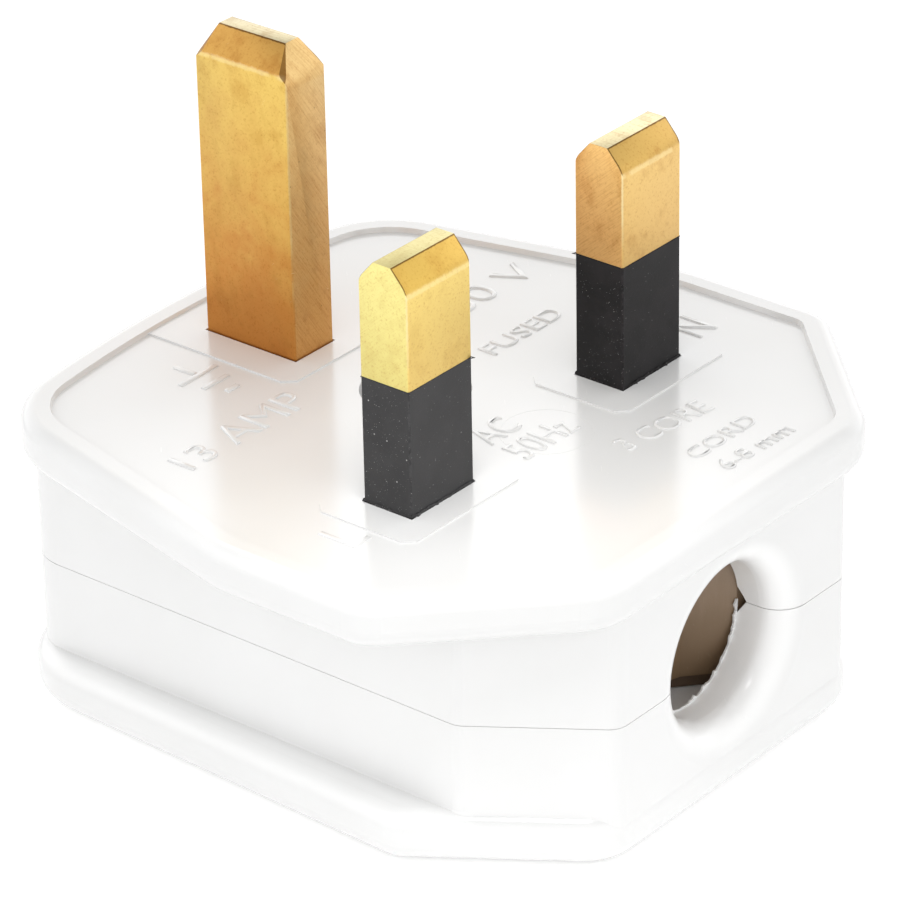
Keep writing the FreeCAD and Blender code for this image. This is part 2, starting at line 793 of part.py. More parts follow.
pieces = {
    "base": make_base(),
    "cover": make_cover(),
    "earth_pin": make_earth_pin(),
    "neutral_pin": make_neutral_pin(),
    "live_pin": make_live_pin(),
    "neutral_pin_sleeve": make_sleeve(pin_x),
    "live_pin_sleeve": make_sleeve(-pin_x),
    "live_terminal": make_live_terminal(),
    "terminal_screws": make_terminal_screws(),
    "fuse_tube": make_fuse_tube(),
    "fuse_cap_pin_end": make_fuse_cap(fuse_start, 1),
    "fuse_cap_terminal_end": make_fuse_cap(fuse_end, -1),
    "fuse_wire": make_fuse_wire(),
    "fuse_clip_pin_end": make_clip(pin_clip_y),
    "fuse_clip_terminal_end": make_clip(terminal_clip_y),
    "clip_rivets": Part.makeCompound([make_rivet(pin_clip_y), make_rivet(terminal_clip_y)]),
    "cord_grip": make_cord_grip(),
    "cover_screw": make_cover_screw(),
    "cover_screw_washer": make_washer(),
    "cover_nut": make_nut(),
}

os.makedirs("parts", exist_ok=True)
for name, shape in pieces.items():
    shape.translate(Vector(0, -origin_y, 0))
    shape.exportStep(os.path.join("parts", name + ".step"))
    print(name, len(shape.Solids), "solids", round(shape.Volume, 1), "mm3", shape.isValid())
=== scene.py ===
"""Finishes, moulded marks, moulding flash and studio for a rewireable three-pin mains plug.

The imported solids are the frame. Sizes are written in millimetres, as a toolmaker would
write them, and become metres where a mesh, a light or the camera takes them. Angles are
written in degrees.
"""

import logging
import math
from dataclasses import dataclass
from enum import Enum
from typing import Any, Iterable, Optional, Union

import bmesh
import bpy
from bmesh.types import BMesh, BMEdge, BMFace, BMVert
from mathutils import Matrix, Vector, geometry, noise


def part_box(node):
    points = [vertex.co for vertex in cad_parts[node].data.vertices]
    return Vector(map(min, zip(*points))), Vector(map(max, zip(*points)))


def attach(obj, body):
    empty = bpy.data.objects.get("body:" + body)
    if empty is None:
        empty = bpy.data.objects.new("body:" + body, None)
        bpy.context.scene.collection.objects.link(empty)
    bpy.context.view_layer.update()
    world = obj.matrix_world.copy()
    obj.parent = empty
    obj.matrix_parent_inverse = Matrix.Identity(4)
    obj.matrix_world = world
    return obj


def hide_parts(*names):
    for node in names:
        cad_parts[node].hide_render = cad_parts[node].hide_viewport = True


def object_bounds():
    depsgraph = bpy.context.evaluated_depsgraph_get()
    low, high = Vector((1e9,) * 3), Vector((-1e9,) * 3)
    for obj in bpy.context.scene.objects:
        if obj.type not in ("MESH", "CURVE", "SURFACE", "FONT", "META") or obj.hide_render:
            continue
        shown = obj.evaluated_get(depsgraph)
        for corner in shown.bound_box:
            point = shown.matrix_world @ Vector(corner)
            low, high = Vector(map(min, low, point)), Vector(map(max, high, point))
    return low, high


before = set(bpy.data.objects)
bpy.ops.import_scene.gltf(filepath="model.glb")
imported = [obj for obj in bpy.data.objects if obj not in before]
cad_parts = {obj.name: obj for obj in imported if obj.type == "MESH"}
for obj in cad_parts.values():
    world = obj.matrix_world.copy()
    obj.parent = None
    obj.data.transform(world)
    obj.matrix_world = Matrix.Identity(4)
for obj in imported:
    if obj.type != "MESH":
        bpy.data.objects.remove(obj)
CAD_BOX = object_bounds()

MM = 0.001
BODY = "root"
MERGE = 1e-7
FLAT_ANGLE = 0.2
PANEL_Z = 21.0
PARTING_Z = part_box("base")[0].z / MM
WHITE = (1.0, 1.0, 1.0)
log = logging.getLogger("plug")

# A noise is its size in millimetres, its detail and its roughness.
# A streak is a turn in degrees and a length along each axis in millimetres, then detail and roughness.
# Specks are their pitch and radius in millimetres and the share of places that has one.
# A rim is how far a soft edge sways and the two distances between which it fades, in millimetres.
Colour = tuple[float, float, float]
Fade = tuple[Colour, Colour]
Spot = tuple[float, float, float]
Pair = tuple[float, float]
Noise = tuple[float, ...]
Streak = tuple[Any, ...]
Specks = tuple[float, float, float]
Rim = tuple[float, float, float]


class Wire:
    """An output socket of a node tree, on which sums can be written."""

    def __init__(self, recipe: "Recipe", socket: bpy.types.NodeSocket) -> None:
        """Keep a socket and the tree it belongs to."""
        self.recipe = recipe
        self.socket = socket

    def _sum(self, operation: str, first: "Level", second: "Level" = 0.0) -> "Wire":
        """Add one Math node to the tree.

        Args:
            operation: The node's operation.
            first: Its first value.
            second: Its second value.

        Returns:
            The node's result.
        """
        return self.recipe.node("ShaderNodeMath", {"operation": operation}, {0: first, 1: second})

    def __add__(self, other: "Level") -> "Wire":
        """This value and another together."""
        return self._sum("ADD", self, other)

    def __radd__(self, other: "Level") -> "Wire":
        """Another value and this one together."""
        return self._sum("ADD", other, self)

    def __sub__(self, other: "Level") -> "Wire":
        """This value less another."""
        return self._sum("SUBTRACT", self, other)

    def __rsub__(self, other: "Level") -> "Wire":
        """Another value less this one."""
        return self._sum("SUBTRACT", other, self)

    def __mul__(self, other: "Level") -> "Wire":
        """This value times another."""
        return self._sum("MULTIPLY", self, other)

    def __rmul__(self, other: "Level") -> "Wire":
        """Another value times this one."""
        return self._sum("MULTIPLY", other, self)

    def __abs__(self) -> "Wire":
        """The size of this value without its sign."""
        return self._sum("ABSOLUTE", self)

    def most(self, other: "Level") -> "Wire":
        """The larger of this value and another."""
        return self._sum("MAXIMUM", self, other)

    def least(self, other: "Level") -> "Wire":
        """The smaller of this value and another."""
        return self._sum("MINIMUM", self, other)

    def rise(self, low: float, high: float) -> "Wire":
        """A soft step from 0 at low to 1 at high.

        Args:
            low: The value where the step starts.
            high: The value where it ends.

        Returns:
            The step's value, from 0 to 1.
        """
        sockets = {"Value": self, "From Min": low, "From Max": high}
        return self.recipe.node("ShaderNodeMapRange", {"interpolation_type": "SMOOTHSTEP"}, sockets)

    def fall(self, low: float, high: float) -> "Wire":
        """A soft step from 1 at low to 0 at high."""
        return 1.0 - self.rise(low, high)

    def rim(self, ragged: "Wire", sway: float, low: float, high: float) -> "Wire":
        """A soft step from 1 at low to 0 at high, whose place sways with a ragged value."""
        return (self + sway * ragged).fall(low, high)


Level = Union[float, Wire]


class Axis(Enum):
    """The three axes of the part."""

    X = "X"
    Y = "Y"
    Z = "Z"


class Recipe:
    """A node tree under construction."""

    def __init__(self, tree: bpy.types.NodeTree) -> None:
        """Start with an empty tree."""
        self.tree = tree
        tree.nodes.clear()

    def node(
        self,
        kind: str,
        settings: Optional[dict[str, Any]] = None,
        sockets: Optional[dict[Union[str, int], Any]] = None,
        output: Union[str, int] = 0,
    ) -> Wire:
        """Add one node.

        Args:
            kind: The node's type.
            settings: Its options, set first; "stops" are the stops of a colour ramp.
            sockets: Its inputs, each a value or a wire.
            output: The output to hand back.

        Returns:
            The chosen output.
        """
        made = self.tree.nodes.new(kind)
        for key, value in (settings or {}).items():
            if key == "stops":
                self._set_stops(made.color_ramp, value)
            else:
                setattr(made, key, value)
        for key, value in (sockets or {}).items():
            if isinstance(value, Wire):
                self.tree.links.new(value.socket, made.inputs[key])
            else:
                made.inputs[key].default_value = value
        if not len(made.outputs):
            return Wire(self, made.inputs[0])
        return Wire(self, made.outputs[output])

    @staticmethod
    def _set_stops(ramp: bpy.types.ColorRamp, stops: list[tuple[float, Colour]]) -> None:
        """Give a ramp its stops.

        Args:
            ramp: The ramp, which has two stops already.
            stops: Place and colour of each stop, in order.
        """
        while len(ramp.elements) < len(stops):
            ramp.elements.new(1.0)
        for element, (place, colour) in zip(ramp.elements, stops):
            element.position = place
            element.color = (*colour, 1.0)

    def place(self) -> Wire:
        """The point on the part that is being shaded, in metres."""
        return self.node("ShaderNodeTexCoord", output="Object")

    def along(self, vector: Wire, axis: Axis) -> Wire:
        """One part of a vector."""
        return self.node("ShaderNodeSeparateXYZ", None, {0: vector}, axis.value)

    def facing(self, axis: Axis) -> Wire:
        """How squarely the surface faces along an axis, from -1 to 1."""
        normal = self.node("ShaderNodeNewGeometry", output="Normal")
        return self.along(normal, axis)

    def millimetres(self, place: Wire, axis: Axis, start: float = 0.0) -> Wire:
        """A place's distance along an axis from a start, in millimetres."""
        return self.along(place, axis) * (1.0 / MM) - start

    def clouds(self, place: Wire, size: float, detail: float = 2.0, rough: float = 0.5) -> Wire:
        """Soft noise.

        Args:
            place: The point to read it at.
            size: The size of its largest blots, in millimetres.
            detail: How many finer layers it has.
            rough: How strong those are.

        Returns:
            A value around 0.5.
        """
        sockets = {"Vector": place, "Scale": 1.0 / (size * MM), "Detail": detail, "Roughness": rough}
        return self.node("ShaderNodeTexNoise", None, sockets, "Fac")

    def streaks(
        self, place: Wire, turn: Spot, stretch: Spot, detail: float = 2.0, rough: float = 0.5
    ) -> Wire:
        """Soft noise that runs in streaks.

        Args:
            place: The point to read it at.
            turn: Angles about the axes, in degrees.
            stretch: The length of its largest blots along each turned axis, in millimetres.
            detail: How many finer layers it has.
            rough: How strong those are.

        Returns:
            A value around 0.5.
        """
        angles = tuple(math.radians(a) for a in turn)
        scale = tuple(1.0 / s for s in stretch)
        spun = self.node("ShaderNodeMapping", None, {"Vector": place, "Rotation": angles})
        drawn = self.node("ShaderNodeMapping", None, {"Vector": spun, "Scale": scale})
        return self.clouds(drawn, 1.0, detail, rough)

    def specks(self, place: Wire, pitch: float, radius: float, share: float) -> Wire:
        """Scattered round specks.

        Args:
            place: The point to read them at.
            pitch: The mean distance between places for a speck, in millimetres.
            radius: A speck's radius, in millimetres.
            share: The share of those places that has one.

        Returns:
            1 in a speck and 0 elsewhere.
        """
        sockets = {"Vector": place, "Scale": 1.0 / (pitch * MM)}
        cell = self.node("ShaderNodeTexVoronoi", None, sockets, "Distance")
        tint = self.node("ShaderNodeTexVoronoi", None, sockets, "Color")
        chosen = self.along(tint, Axis.X).rise(1.0 - share, 1.0 - 0.8 * share)
        reach = radius / pitch
        return cell.fall(0.6 * reach, reach) * chosen

    def blend(self, factor: Level, first: Any, second: Any, mode: str = "MIX") -> Wire:
        """A colour between two others, or one colour laid on another.

        Args:
            factor: 0 for the first and 1 for the second.
            first: A colour or a wire.
            second: A colour or a wire.
            mode: How the second is laid on the first.

        Returns:
            The mixed colour.
        """
        ends = [c if isinstance(c, Wire) else (*c, 1.0) for c in (first, second)]
        settings = {"data_type": "RGBA", "blend_type": mode}
        return self.node("ShaderNodeMix", settings, {0: factor, 6: ends[0], 7: ends[1]}, 2)

    def relief(self, height: Wire, depth: float, under: Optional[Wire] = None) -> Wire:
        """A bumped normal.

        Args:
            height: The height, from 0 to 1.
            depth: The depth of the relief, in millimetres.
            under: A normal to start from.

        Returns:
            The new normal.
        """
        sockets: dict[Union[str, int], Any] = {"Height": height, "Distance": depth * MM}
        if under is not None:
            sockets["Normal"] = under
        return self.node("ShaderNodeBump", None, sockets)

    def surface(self, **sockets: Any) -> None:
        """Finish a material with one Principled shader.

        Args:
            sockets: Its inputs, with underscores for the spaces in their names.
        """
        named = {key.replace("_", " "): value for key, value in sockets.items()}
        shader = self.node("ShaderNodeBsdfPrincipled", None, named)
        self.node("ShaderNodeOutputMaterial", None, {"Surface": shader})


class Finish:
    """A procedural material, laid into the material slots of what it is given to; its slot names a slot of
    the record.
    """

    slot: str
    name: str

    def paint(self, recipe: Recipe) -> None:
        """Lay the finish out as nodes."""
        raise NotImplementedError

    def material(self) -> bpy.types.Material:
        """The finish as a material, made once and then used again."""
        found = bpy.data.materials.get(self.name)
        if found is None:
            found = bpy.data.materials.new(self.name)
            found.use_nodes = True
            self.paint(Recipe(found.node_tree))
        return found


@dataclass(frozen=True)
class MouldedWhite(Finish):
    """Glossy white moulding powder, with the faint ripple of the mould and light handling scuffs.

    The bore of the cable entry and the corner above the swollen edge get painted light, a whiter colour
    that lifts the shade in them.
    Each bound of theirs is soft, from its first place to its second, and heights count from
    the parting.
    """

    slot: str = "shell"
    name: str = "moulded_white"
    white: Colour = (0.775, 0.775, 0.772)
    cloud: Colour = (0.760, 0.760, 0.755)
    scuffed: Colour = (0.70, 0.695, 0.685)
    painted_light_white: Colour = (0.93, 0.93, 0.925)
    parting: float = PARTING_Z
    bore_radius: Pair = (5.75, 7.6)
    bore_end: Pair = (-20.1, -19.9)
    corner_foot: Pair = (-7.7, -6.8)
    corner_top: Pair = (-6.55, -6.4)
    corner_side: Pair = (-19.5, -17.5)
    tone: Noise = (11.0, 2.0)
    scuffs: Streak = ((20.0, 35.0, 50.0), (0.05, 2.2, 1.4))
    patches: Noise = (6.0, 1.0)
    haze: Noise = (1.6, 3.0)
    ripple: Noise = (3.0, 1.0)
    ripple_depth: float = 0.008
    grain: Noise = (0.22, 2.0)
    grain_depth: float = 0.0008
    gloss: float = 0.16
    index: float = 1.7

    def paint(self, recipe: Recipe) -> None:
        """Lay the finish out as nodes."""
        place = recipe.place()
        tone = recipe.clouds(place, *self.tone)
        scuff = recipe.streaks(place, *self.scuffs).rise(0.70, 0.78)
        patch = recipe.clouds(place, *self.patches).rise(0.5, 0.65)
        worn = scuff * patch
        body = recipe.blend(tone.rise(0.35, 0.7), self.white, self.cloud)
        colour = recipe.blend(worn * 0.35, body, self.scuffed)
        x = recipe.millimetres(place, Axis.X)
        y = recipe.millimetres(place, Axis.Y)
        z = recipe.millimetres(place, Axis.Z, self.parting)
        # Painted light: the bore and the corner above the swollen edge are painted whiter, lifting the
        # shade that falls there.
        bore_painted_light = (x * x + z * z).fall(*(radius ** 2 for radius in self.bore_radius))
        bore_painted_light = bore_painted_light * y.fall(*self.bore_end)
        corner_painted_light = z.rise(*self.corner_foot) * z.fall(*self.corner_top) * x.fall(*self.corner_side)
        colour = recipe.blend(bore_painted_light.most(corner_painted_light), colour, self.painted_light_white)
        rough = self.gloss + 0.05 * recipe.clouds(place, *self.haze) + 0.15 * worn
        ripple = recipe.relief(recipe.clouds(place, *self.ripple), self.ripple_depth)
        grain = recipe.relief(recipe.clouds(place, *self.grain), self.grain_depth, ripple)
        recipe.surface(Base_Color=colour, Roughness=rough, Normal=grain, IOR=self.index)


@dataclass(frozen=True)
class PinReading:
    """What a pin's brass goes by: where a point lies, how it faces and how the metal aged there."""

    place: Wire
    across: Wire
    along: Wire
    height: Wire
    up: Wire
    faces_x: Wire
    faces_y: Wire
    faces_broad: Wire
    broad_side: Wire
    roof: Wire
    ragged: Wire
    grain: Wire
    mottle: Wire
    blots: Wire
    smear: Wire
    lines: Wire
    pits: Wire


@dataclass(frozen=True)
class PinBrass(Finish):
    """Sheared brass, brushed askew: sides partly tarnish, partly painted light and shade; dark lines and
    painted shade on the tip.

    Places and sizes are those of one pin, in millimetres. The broad and narrow sides each
    have a colour at the foot and one at the tip; the darker colour at the foot is painted shade.
    """

    name: str
    middle: Pair
    half_across: float
    half_along: float
    crown_half: float
    foot: float
    tip: float
    broad_axis: Axis
    broad: Fade
    narrow: Fade
    slope: Colour
    crown: Colour
    brush: float
    gable: float
    edge: float
    eave: float
    slot: str = "pin_brass"
    brown: Colour = (0.66, 0.45, 0.28)
    bright: Colour = (0.97, 0.86, 0.50)
    # Dark colour for the dirt in the pits and for the painted shade on the tip's hips.
    grime_and_shade: Colour = (0.13, 0.06, 0.018)
    fine: Noise = (0.3, 3.0, 0.6)
    grain: Noise = (0.16, 2.0, 0.6)
    mottle: Noise = (2.6, 5.0, 0.6)
    blots: Noise = (1.1, 4.0, 0.62)
    smear: Streak = ((12.0, 8.0, 0.0), (1.6, 1.6, 5.12), 3.0, 0.55)
    brush_x: Streak = ((-49.0, 0.0, 0.0), (4.0, 0.09, 2.0), 4.0, 0.65)
    brush_y: Streak = ((0.0, 34.0, 0.0), (0.09, 4.0, 2.6), 4.0, 0.65)
    nicks: Streak = ((70.0, 65.0, 20.0), (0.045, 0.9, 0.9))
    pits: Specks = (0.9, 0.07, 0.16)
    corner_rim: Rim = (0.14, 0.06, 0.14)
    ridge_rim: Rim = (0.09, 0.035, 0.085)
    gable_rim: Rim = (0.1, 0.06, 0.13)
    eave_sway: float = 0.3
    eave_width: Pair = (0.08, 0.24)
    line_depth: float = 0.004
    mottle_depth: float = 0.02
    grain_depth: float = 0.003

    def paint(self, recipe: Recipe) -> None:
        """Lay the finish out as nodes."""
        at = self._read(recipe)
        colour = self._sides(recipe, at)
        colour = self._aged(recipe, at, colour)
        colour = self._rubbed_and_highlit(recipe, at, colour)
        colour = self._tip_lines_and_shade(recipe, at, colour)
        rough = 0.25 + 0.12 * at.mottle + 0.12 * at.lines + 0.14 * at.grain + 0.1 * at.pits
        normal = recipe.relief(at.lines, self.line_depth)
        normal = recipe.relief(at.mottle, self.mottle_depth, normal)
        normal = recipe.relief(at.grain, self.grain_depth, normal)
        recipe.surface(Base_Color=colour, Roughness=rough, Normal=normal, Metallic=1.0)

    def _read(self, recipe: Recipe) -> PinReading:
        """Read off what the other methods go by.

        Args:
            recipe: The material under construction.

        Returns:
            The readings at the point that is being shaded.
        """
        place = recipe.place()
        from_x = abs(recipe.millimetres(place, Axis.X, self.middle[0]))
        from_y = abs(recipe.millimetres(place, Axis.Y, self.middle[1]))
        faces_x = abs(recipe.facing(Axis.X))
        faces_y = abs(recipe.facing(Axis.Y))
        on_x = self.broad_axis is Axis.X
        faces_broad = faces_x if on_x else faces_y
        up = recipe.facing(Axis.Z)
        askew_x = recipe.streaks(place, *self.brush_x)
        askew_y = recipe.streaks(place, *self.brush_y)
        return PinReading(
            place=place,
            across=from_x if on_x else from_y,
            along=from_y if on_x else from_x,
            height=recipe.millimetres(place, Axis.Z, self.foot) * (1.0 / (self.tip - self.foot)),
            up=up,
            faces_x=faces_x,
            faces_y=faces_y,
            faces_broad=faces_broad,
            broad_side=faces_broad.rise(0.5, 0.75),
            roof=up.rise(0.12, 0.4) * faces_broad.rise(0.2, 0.4),
            ragged=recipe.clouds(place, *self.fine) - 0.5,
            grain=recipe.clouds(place, *self.grain),
            mottle=recipe.clouds(place, *self.mottle),
            blots=recipe.clouds(place, *self.blots),
            smear=recipe.streaks(place, *self.smear),
            lines=askew_y + faces_x.rise(0.5, 0.75) * (askew_x - askew_y),
            pits=recipe.specks(place, *self.pits),
        )

    def _sides(self, recipe: Recipe, at: PinReading) -> Wire:
        """The colour of the sides, the slopes and the crown, each before its wear: partly tarnish and
        partly painted light and shade, darker towards the foot as painted shade.

        Args:
            recipe: The material under construction.
            at: The readings.

        Returns:
            The colour.
        """
        # Painted shade: the sides darken towards the foot; each facing's colour also holds painted light
        # and shade.
        level = (at.height + 0.8 * (at.mottle - 0.5) + 0.35 * (at.blots - 0.5)).rise(0.0, 1.0)
        wide = recipe.blend(level, *self.broad)
        thin = recipe.blend(level, *self.narrow)
        colour = recipe.blend(at.broad_side, thin, wide)
        colour = recipe.blend(at.roof, colour, self.slope)
        return recipe.blend(at.up.rise(0.9, 0.97), colour, self.crown)

    def _aged(self, recipe: Recipe, at: PinReading, colour: Wire) -> Wire:
        """Brush lines, tarnish, pits and bright nicks.

        Args:
            recipe: The material under construction.
            at: The readings.
            colour: The colour that they lie on.

        Returns:
            The new colour.
        """
        brushed = self.brush * (1.0 - 0.92 * at.broad_side)
        colour = recipe.blend(at.lines.rise(0.42, 0.72) * brushed, colour, self.brown, "MULTIPLY")
        tarnish = (0.4 * at.mottle + 0.3 * at.smear + 0.3 * at.blots).rise(0.48, 0.62)
        colour = recipe.blend(tarnish * (0.12 + 0.8 * self.brush), colour, self.brown, "MULTIPLY")
        colour = recipe.blend(at.grain.rise(0.52, 0.78) * 0.4, colour, self.brown, "MULTIPLY")
        colour = recipe.blend(at.pits * 0.4, colour, self.grime_and_shade)
        nicks = recipe.streaks(at.place, *self.nicks).rise(0.72, 0.8)
        return recipe.blend(nicks * at.blots.rise(0.45, 0.6) * 0.5, colour, self.bright)

    def _rubbed_and_highlit(self, recipe: Recipe, at: PinReading, colour: Wire) -> Wire:
        """Bright upright corners, partly rubbed brass and partly painted highlight, and a painted
        highlight below the eaves of the tip.

        Args:
            recipe: The material under construction.
            at: The readings.
            colour: The colour that it lies on.

        Returns:
            The new colour.
        """
        # Bright corners: rubbed brass and painted highlight together.
        corner = (self.half_across - at.across).most(self.half_along - at.along)
        corner = corner.rim(at.ragged, *self.corner_rim) * at.up.fall(0.1, 0.2)
        rubbed = corner * (at.height + 0.6 * (at.mottle - 0.5)).rise(0.15, 0.5)
        colour = recipe.blend(rubbed * self.edge, colour, self.bright)
        # Painted highlight: a pale band below the eaves of the broad sides.
        above_eave = recipe.millimetres(at.place, Axis.Z, self.tip - self.eave)
        eave_highlight = abs(above_eave + self.eave_sway * at.ragged).fall(*self.eave_width)
        eave_highlight = eave_highlight * at.faces_broad.rise(0.4, 0.7) * at.smear.rise(0.36, 0.5)
        return recipe.blend(eave_highlight * 0.32, colour, self.bright)

    def _tip_lines_and_shade(self, recipe: Recipe, at: PinReading, colour: Wire) -> Wire:
        """Dark lines along the ridges and the gables of the tip, and painted shade on its hip facets.

        Args:
            recipe: The material under construction.
            at: The readings.
            colour: The colour that it lies on.

        Returns:
            The new colour.
        """
        ridge = abs(at.across - self.crown_half).rim(at.ragged, *self.ridge_rim)
        ridge = ridge * at.up.rise(0.3, 0.5) * at.faces_broad.rise(0.1, 0.3)
        gable = (self.half_along - at.along).rim(at.ragged, *self.gable_rim) * at.roof * self.gable
        # Painted shade: the hip facets, which face across both axes and upward, are darkened.
        hip_shade = at.faces_x.least(at.faces_y).rise(0.3, 0.42) * at.up.rise(0.1, 0.3)
        return recipe.blend(ridge.most(gable).most(hip_shade * 0.75) * 0.85, colour, self.grime_and_shade)


@dataclass(frozen=True)
class SleeveNylon(Finish):
    """Black sleeve with pale dust in its skin, mostly on one side, and rubbed upright edges."""

    name: str
    middle: Pair
    half: Pair
    black: Colour
    rubbed: Colour
    index: float
    dusty: float
    slot: str = "sleeve"
    edge_lift: float = 1.6
    dust: Colour = (0.62, 0.61, 0.60)
    tone: Noise = (2.4, 4.0, 0.6)
    fine: Noise = (0.35, 3.0, 0.6)
    corner_rim: Rim = (0.12, 0.08, 0.16)
    large_dust: Specks = (0.7, 0.065, 0.45)
    small_dust: Specks = (0.3, 0.042, 0.5)
    hairs: Streak = ((40.0, 0.0, 25.0), (0.05, 0.5, 0.05), 1.0)
    patches: Noise = (2.6, 2.0)
    grain: Noise = (0.18, 3.0, 0.6)
    grain_depth: float = 0.006

    def paint(self, recipe: Recipe) -> None:
        """Lay the finish out as nodes."""
        place = recipe.place()
        tone = recipe.clouds(place, *self.tone)
        body = recipe.blend(tone.rise(0.36, 0.68), self.black, self.rubbed)
        x = abs(recipe.millimetres(place, Axis.X, self.middle[0]))
        y = abs(recipe.millimetres(place, Axis.Y, self.middle[1]))
        fine = recipe.clouds(place, *self.fine)
        corner = (self.half[0] - x).most(self.half[1] - y).rim(fine - 0.5, *self.corner_rim)
        pale = tuple(self.edge_lift * tint for tint in self.rubbed)
        body = recipe.blend(corner * fine.rise(0.42, 0.6), body, pale)
        large = self._specks(recipe, place, self.large_dust)
        small = self._specks(recipe, place, self.small_dust)
        hairs = recipe.streaks(place, *self.hairs).rise(0.72, 0.78)
        dusty_side = 0.2 + 0.8 * (0.0 - recipe.facing(Axis.X)).rise(0.4, 0.8)
        patch = recipe.clouds(place, *self.patches).rise(0.34, 0.52)
        dusted = large.most(small).most(hairs * 0.7) * patch * dusty_side
        colour = recipe.blend(dusted * 0.9, body, self.dust)
        rough = 0.34 + 0.2 * tone
        grain = recipe.relief(recipe.clouds(place, *self.grain), self.grain_depth)
        recipe.surface(Base_Color=colour, Roughness=rough, Normal=grain, IOR=self.index)

    def _specks(self, recipe: Recipe, place: Wire, dust: Specks) -> Wire:
        """Dust of one size, as much of it as this sleeve has."""
        pitch, radius, share = dust
        return recipe.specks(place, pitch, radius, share * self.dusty)


@dataclass(frozen=True)
class GripNylon(Finish):
    """Brown nylon of the cord grip, mottled, waxy and scratched by cords, painted lighter towards its top
    as painted light and dark along its foot as painted shade.
    """

    slot: str = "grip_nylon"
    name: str = "grip_nylon_brown"
    # light and shade are the brown painted lit towards the top and shaded low down; foot is painted shade
    # under the step.
    light: Colour = (0.275, 0.195, 0.130)
    shade: Colour = (0.200, 0.130, 0.072)
    foot: Colour = (0.105, 0.066, 0.040)
    scratch: Colour = (0.42, 0.35, 0.29)
    foot_z: float = 4.5
    foot_edge: Pair = (-0.03, 0.03)
    low: float = 5.0
    high: float = 15.0
    tone: Noise = (2.6, 4.0, 0.55)
    flow: Streak = ((0.0, 0.0, 30.0), (0.5, 0.5, 4.0), 3.0)
    rubs: Streak = ((25.0, 15.0, 10.0), (0.06, 0.06, 1.6))
    grain: Noise = (0.3, 3.0)
    grain_depth: float = 0.01
    index: float = 1.5

    def paint(self, recipe: Recipe) -> None:
        """Lay the finish out as nodes."""
        place = recipe.place()
        cloud = recipe.clouds(place, *self.tone)
        height = recipe.millimetres(place, Axis.Z, self.low) * (1.0 / (self.high - self.low))
        flow = recipe.streaks(place, *self.flow)
        # Painted light and shade: the grip is lighter towards the top and darker low down.
        tone = height.rise(0.0, 1.0) + 0.9 * (0.5 * cloud + 0.5 * flow - 0.5)
        colour = recipe.blend(tone.rise(0.1, 0.95), self.shade, self.light)
        # Painted shade: the strip below the step at foot_z is painted dark.
        foot = recipe.millimetres(place, Axis.Z, self.foot_z).fall(*self.foot_edge)
        colour = recipe.blend(foot, colour, self.foot)
        rubs = recipe.streaks(place, *self.rubs).rise(0.7, 0.78)
        colour = recipe.blend(rubs * 0.5, colour, self.scratch)
        rough = 0.42 + 0.2 * cloud
        normal = recipe.relief(recipe.clouds(place, *self.grain), self.grain_depth)
        recipe.surface(Base_Color=colour, Roughness=rough, Normal=normal, IOR=self.index)


@dataclass(frozen=True)
class TurnedMetal(Finish):
    """Bare or plated metal with fine tool marks round or along one axis and a mottled tone."""

    slot: str
    name: str
    clean: Colour
    dull: Colour
    axis: Axis
    base_rough: float = 0.26
    mark_pitch: float = 0.12
    mark_length: float = 3.0
    mark_noise: Pair = (3.0, 0.6)
    mark_depth: float = 0.008
    tone: Noise = (1.8, 5.0, 0.6)
    spots: Specks = (0.9, 0.08, 0.25)

    def paint(self, recipe: Recipe) -> None:
        """Lay the finish out as nodes."""
        place = recipe.place()
        stretch = tuple(self.mark_pitch if axis is self.axis else self.mark_length for axis in Axis)
        marks = recipe.streaks(place, (0.0, 0.0, 0.0), stretch, *self.mark_noise)
        cloud = recipe.clouds(place, *self.tone)
        spots = recipe.specks(place, *self.spots)
        tone = (0.65 * cloud + 0.35 * marks).rise(0.36, 0.68)
        colour = recipe.blend(tone.most(spots), self.clean, self.dull)
        rough = self.base_rough + 0.2 * cloud + 0.08 * marks
        normal = recipe.relief(marks, self.mark_depth)
        recipe.surface(Base_Color=colour, Roughness=rough, Normal=normal, Metallic=1.0)


@dataclass(frozen=True)
class FiredCeramic(Finish):
    """The fuse's glazed barrel, off-white with a few iron specks."""

    slot: str = "fuse_ceramic"
    name: str = "fired_ceramic"
    glaze: Colour = (0.78, 0.75, 0.68)
    warm: Colour = (0.68, 0.63, 0.53)
    iron: Colour = (0.22, 0.15, 0.09)
    tone: Noise = (4.0, 3.0)
    specks: Specks = (1.1, 0.06, 0.3)
    haze: Noise = (1.0, 2.0)
    ripple: Noise = (0.6, 2.0)
    ripple_depth: float = 0.01
    index: float = 1.54

    def paint(self, recipe: Recipe) -> None:
        """Lay the finish out as nodes."""
        place = recipe.place()
        tone = recipe.clouds(place, *self.tone)
        colour = recipe.blend(tone.rise(0.35, 0.7), self.glaze, self.warm)
        colour = recipe.blend(recipe.specks(place, *self.specks) * 0.8, colour, self.iron)
        rough = 0.2 + 0.16 * recipe.clouds(place, *self.haze)
        normal = recipe.relief(recipe.clouds(place, *self.ripple), self.ripple_depth)
        recipe.surface(Base_Color=colour, Roughness=rough, Normal=normal, IOR=self.index)


